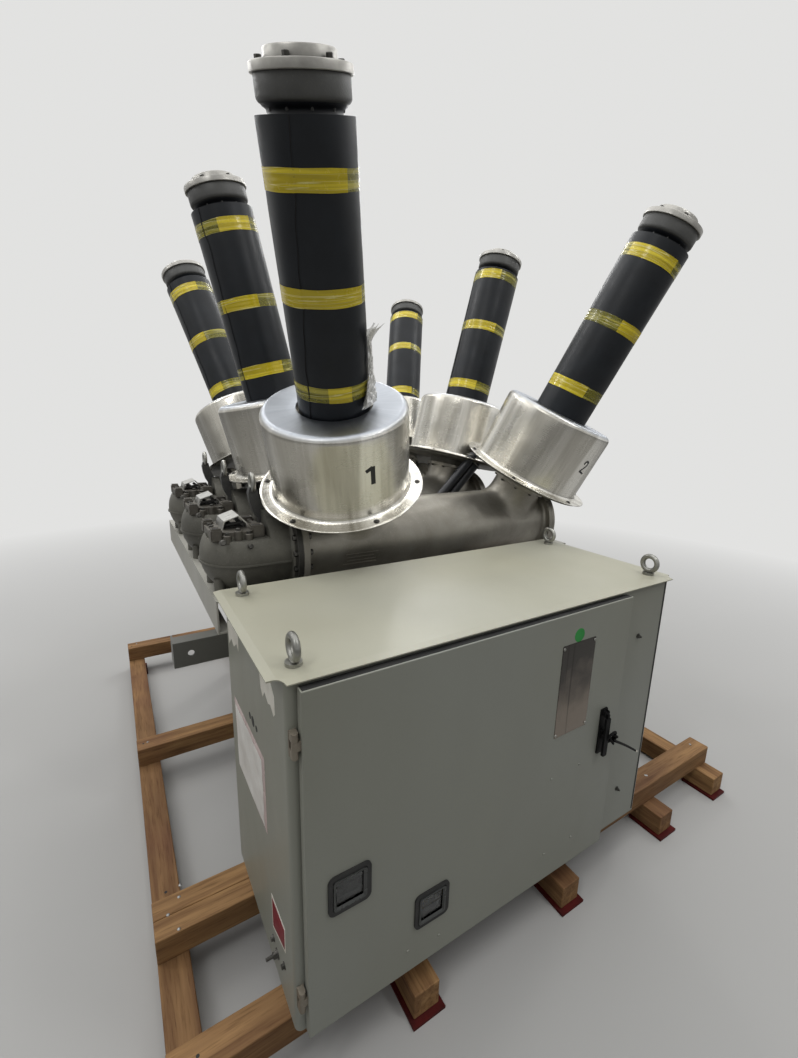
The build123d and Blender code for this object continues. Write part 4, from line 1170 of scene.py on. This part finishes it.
def make_cable_tie():
    """The black tie looped through the handle, its tail pointing out to the right."""
    def loop(t):
        turn = FULL_TURN * t
        x, y = HANDLE_X + 26 + 20 * cos(turn), DOOR_FACE - 24 - 9 * sin(turn)
        return (x, y, 677 + 24 * sin(turn))

    def knot(t):
        turn = FULL_TURN * t
        x, y = HANDLE_X + 36 + 13 * cos(turn), DOOR_FACE - 26 - 8 * sin(2 * turn)
        return (x, y, 668 + 14 * sin(turn))

    def tail(t):
        return (HANDLE_X + 46 + 146 * t, DOOR_FACE - 26 + 2 * t, 656 - 98 * t + 3 * sin(3 * t))
    tie = Shape(tube(path_of(24, loop), 4.4), tube(path_of(18, knot), 4.2))
    tie.add(slab(13, 9, 12, 1.5), spot(HANDLE_X + 44, DOOR_FACE - 26, 658))
    tie.add(tube(path_of(12, tail), lambda t: 5.0 - 1.2 * t))
    tie.make("cable_tie", BLACK, "black_plastic", "handle_lever")
    tip = tube([tail(1), Vector(tail(1)) + Vector((8, -1, -6))], 3.5)
    Shape(tip).make("cable_tie_tip", LABEL_WHITE, "black_plastic", "handle_lever")


def make_skid_marks():
    """Nail heads and open nail holes, the holes drawn as dark discs of painted shade, where the timbers
    cross, none of them under the cabinet.
    """
    chance = random.Random(11)
    bright, nailed_share = (-1134, -850), 0.4
    places = [(-1156, -703), (-1113, -700), (-1121, -742), (-1158, -787), bright]
    for x in (-1155.5, -529.5, 103.5, 718.5, 1155.5):
        for y in (-1195, -824, -754, 145, 1279):
            if x < -1100 and -900 < y < -700:
                continue
            for _ in range(2):
                places.append((x + chance.uniform(-28, 28), y + chance.uniform(-24, 24)))
    nails, holes = Shape(), Shape()
    for x, y in places:
        if -1300 < y < -600 and -905 < x < 520:
            continue
        if (x, y) == bright or chance.random() < nailed_share:
            nails.add(lathe([(5, -0.4), (5, 0.7), (3.6, 1.2), (0, 1.3)], 16), spot(x, y, SKID_TOP))
        else:
            # An open hole is a flat near-black disc: painted shade of its inside.
            holes.add(lathe([(4.6, -0.3), (4.6, 0.25), (0, 0.25)], 16), spot(x, y, SKID_TOP))
    nails.make("nail_heads", BOLT, "galvanised")
    holes.make("nail_hole_shade", RECESS_SHADE, "timber")


def make_camera():
    """The photograph's viewpoint, from its own perspective."""
    width, height, focal, centre_x, centre_y = 798, 1058, 472.885, 407.77, 525.05
    data = bpy.data.cameras.new("photo_camera")
    camera = linked("photo_camera", data)
    right = Vector((0.849713, -0.526579, 0.026480))
    forward = Vector((0.518629, 0.825732, -0.221791))
    up = Vector((0.094925, 0.202192, 0.974735))
    turn = Matrix((right, up, -forward)).transposed().to_4x4()
    camera.matrix_world = spot(-1.172, -2.167, 1.736) @ turn
    data.sensor_fit = "HORIZONTAL"
    data.sensor_width = 36
    data.lens = focal / width * data.sensor_width
    data.shift_x = -(centre_x - width / 2) / width
    data.shift_y = (centre_y - height / 2) / width
    data.clip_start = 0.05
    bpy.context.scene.camera = camera


def make_floor():
    """A pale floor that takes shadows near the object and fades to the backdrop."""
    mesh = bpy.data.meshes.new("floor")
    size, fade_start, fade_end = 60, 2.2, 6.5
    corners = [(-size, -size, 0), (size, -size, 0), (size, size, 0), (-size, size, 0)]
    mesh.from_pydata(corners, [], [(0, 1, 2, 3)])
    floor = linked("floor", mesh)
    look = Look("pale_floor", Roughness=0.85, Specular_IOR_Level=0.05)
    path = look.node("ShaderNodeLightPath")
    look.colour(look.blend(look.seen(path), (122, 120, 116), (178, 177, 174)))
    reach = look.node("ShaderNodeVectorMath", operation="LENGTH")
    look.link(look.place, reach.inputs[0])
    faded = look.span(reach.outputs["Value"], fade_start, fade_end)
    far = look.maths("MULTIPLY", faded, path.outputs["Is Camera Ray"])
    glow = look.node("ShaderNodeEmission")
    glow.inputs["Color"].default_value = BACKDROP
    mix = look.node("ShaderNodeMixShader")
    for index, source in enumerate((far, look.shader.outputs[0], glow.outputs[0])):
        look.link(source, mix.inputs[index])
    look.link(mix.outputs[0], look.tree.nodes["Material Output"].inputs["Surface"])
    mesh.materials.append(look.material)


def make_surround():
    """A dim surround, lighter overhead, that shows as the plain backdrop."""
    world = bpy.data.worlds.new("studio")
    bpy.context.scene.world = world
    world.use_nodes = True
    world.node_tree.nodes.clear()
    sky = Nodes(world.node_tree)
    split = sky.node("ShaderNodeSeparateXYZ")
    sky.link(sky.node("ShaderNodeTexCoord").outputs["Generated"], split.inputs[0])
    level = sky.span(split.outputs["Z"], 0.0, 0.9)
    shade = sky.blend(level, (0.16, 0.16, 0.155, 1), (0.60, 0.61, 0.63, 1))
    seen = sky.seen(sky.node("ShaderNodeLightPath"))
    background = sky.node("ShaderNodeBackground")
    sky.link(sky.blend(seen, shade, BACKDROP), background.inputs[0])
    sky.link(background.outputs[0], sky.node("ShaderNodeOutputWorld").inputs[0])


def lamp(name, place, size, power):
    data = bpy.data.lights.new(name, "AREA")
    data.shape = "RECTANGLE"
    data.size, data.size_y = size
    data.energy = power
    light = linked(name, data)
    light.location = place
    aim = Vector((0, 0, 1.0)) - Vector(place)
    light.rotation_euler = aim.to_track_quat("-Z", "Y").to_euler()


def make_lamps():
    """A wide soft lamp overhead and six long narrow ones."""
    lamp("overhead", (0.2, 0.6, 6.2), (7.0, 8.0), 200)
    strips = ((-3.2, -2.2), (-1.6, 2.6), (1.2, -3.2), (3.4, -0.6), (2.4, 3.0), (-3.8, 1.4))
    for index, (x, y) in enumerate(strips):
        lamp(f"strip_{index}", (x, y, 4.6), (0.3, 1.6), 26)


make_ct_housings()
make_numbers()
make_wraps()
make_tapes()
make_clear_film()
make_waists()
make_cups()
make_caps()
make_tanks()
make_cast_lines()
make_flange_rims()
make_drive_bodies()
make_tank_bolts()
make_lugs()
make_conduits()
make_drive_details()
make_door_details()
make_strip_details()
make_pouch()
make_labels()
make_side_fittings()
make_cable_tie()
make_skid_marks()
make_camera()
make_floor()
make_surround()
make_lamps()
bpy.context.scene.view_settings.view_transform = "Standard"
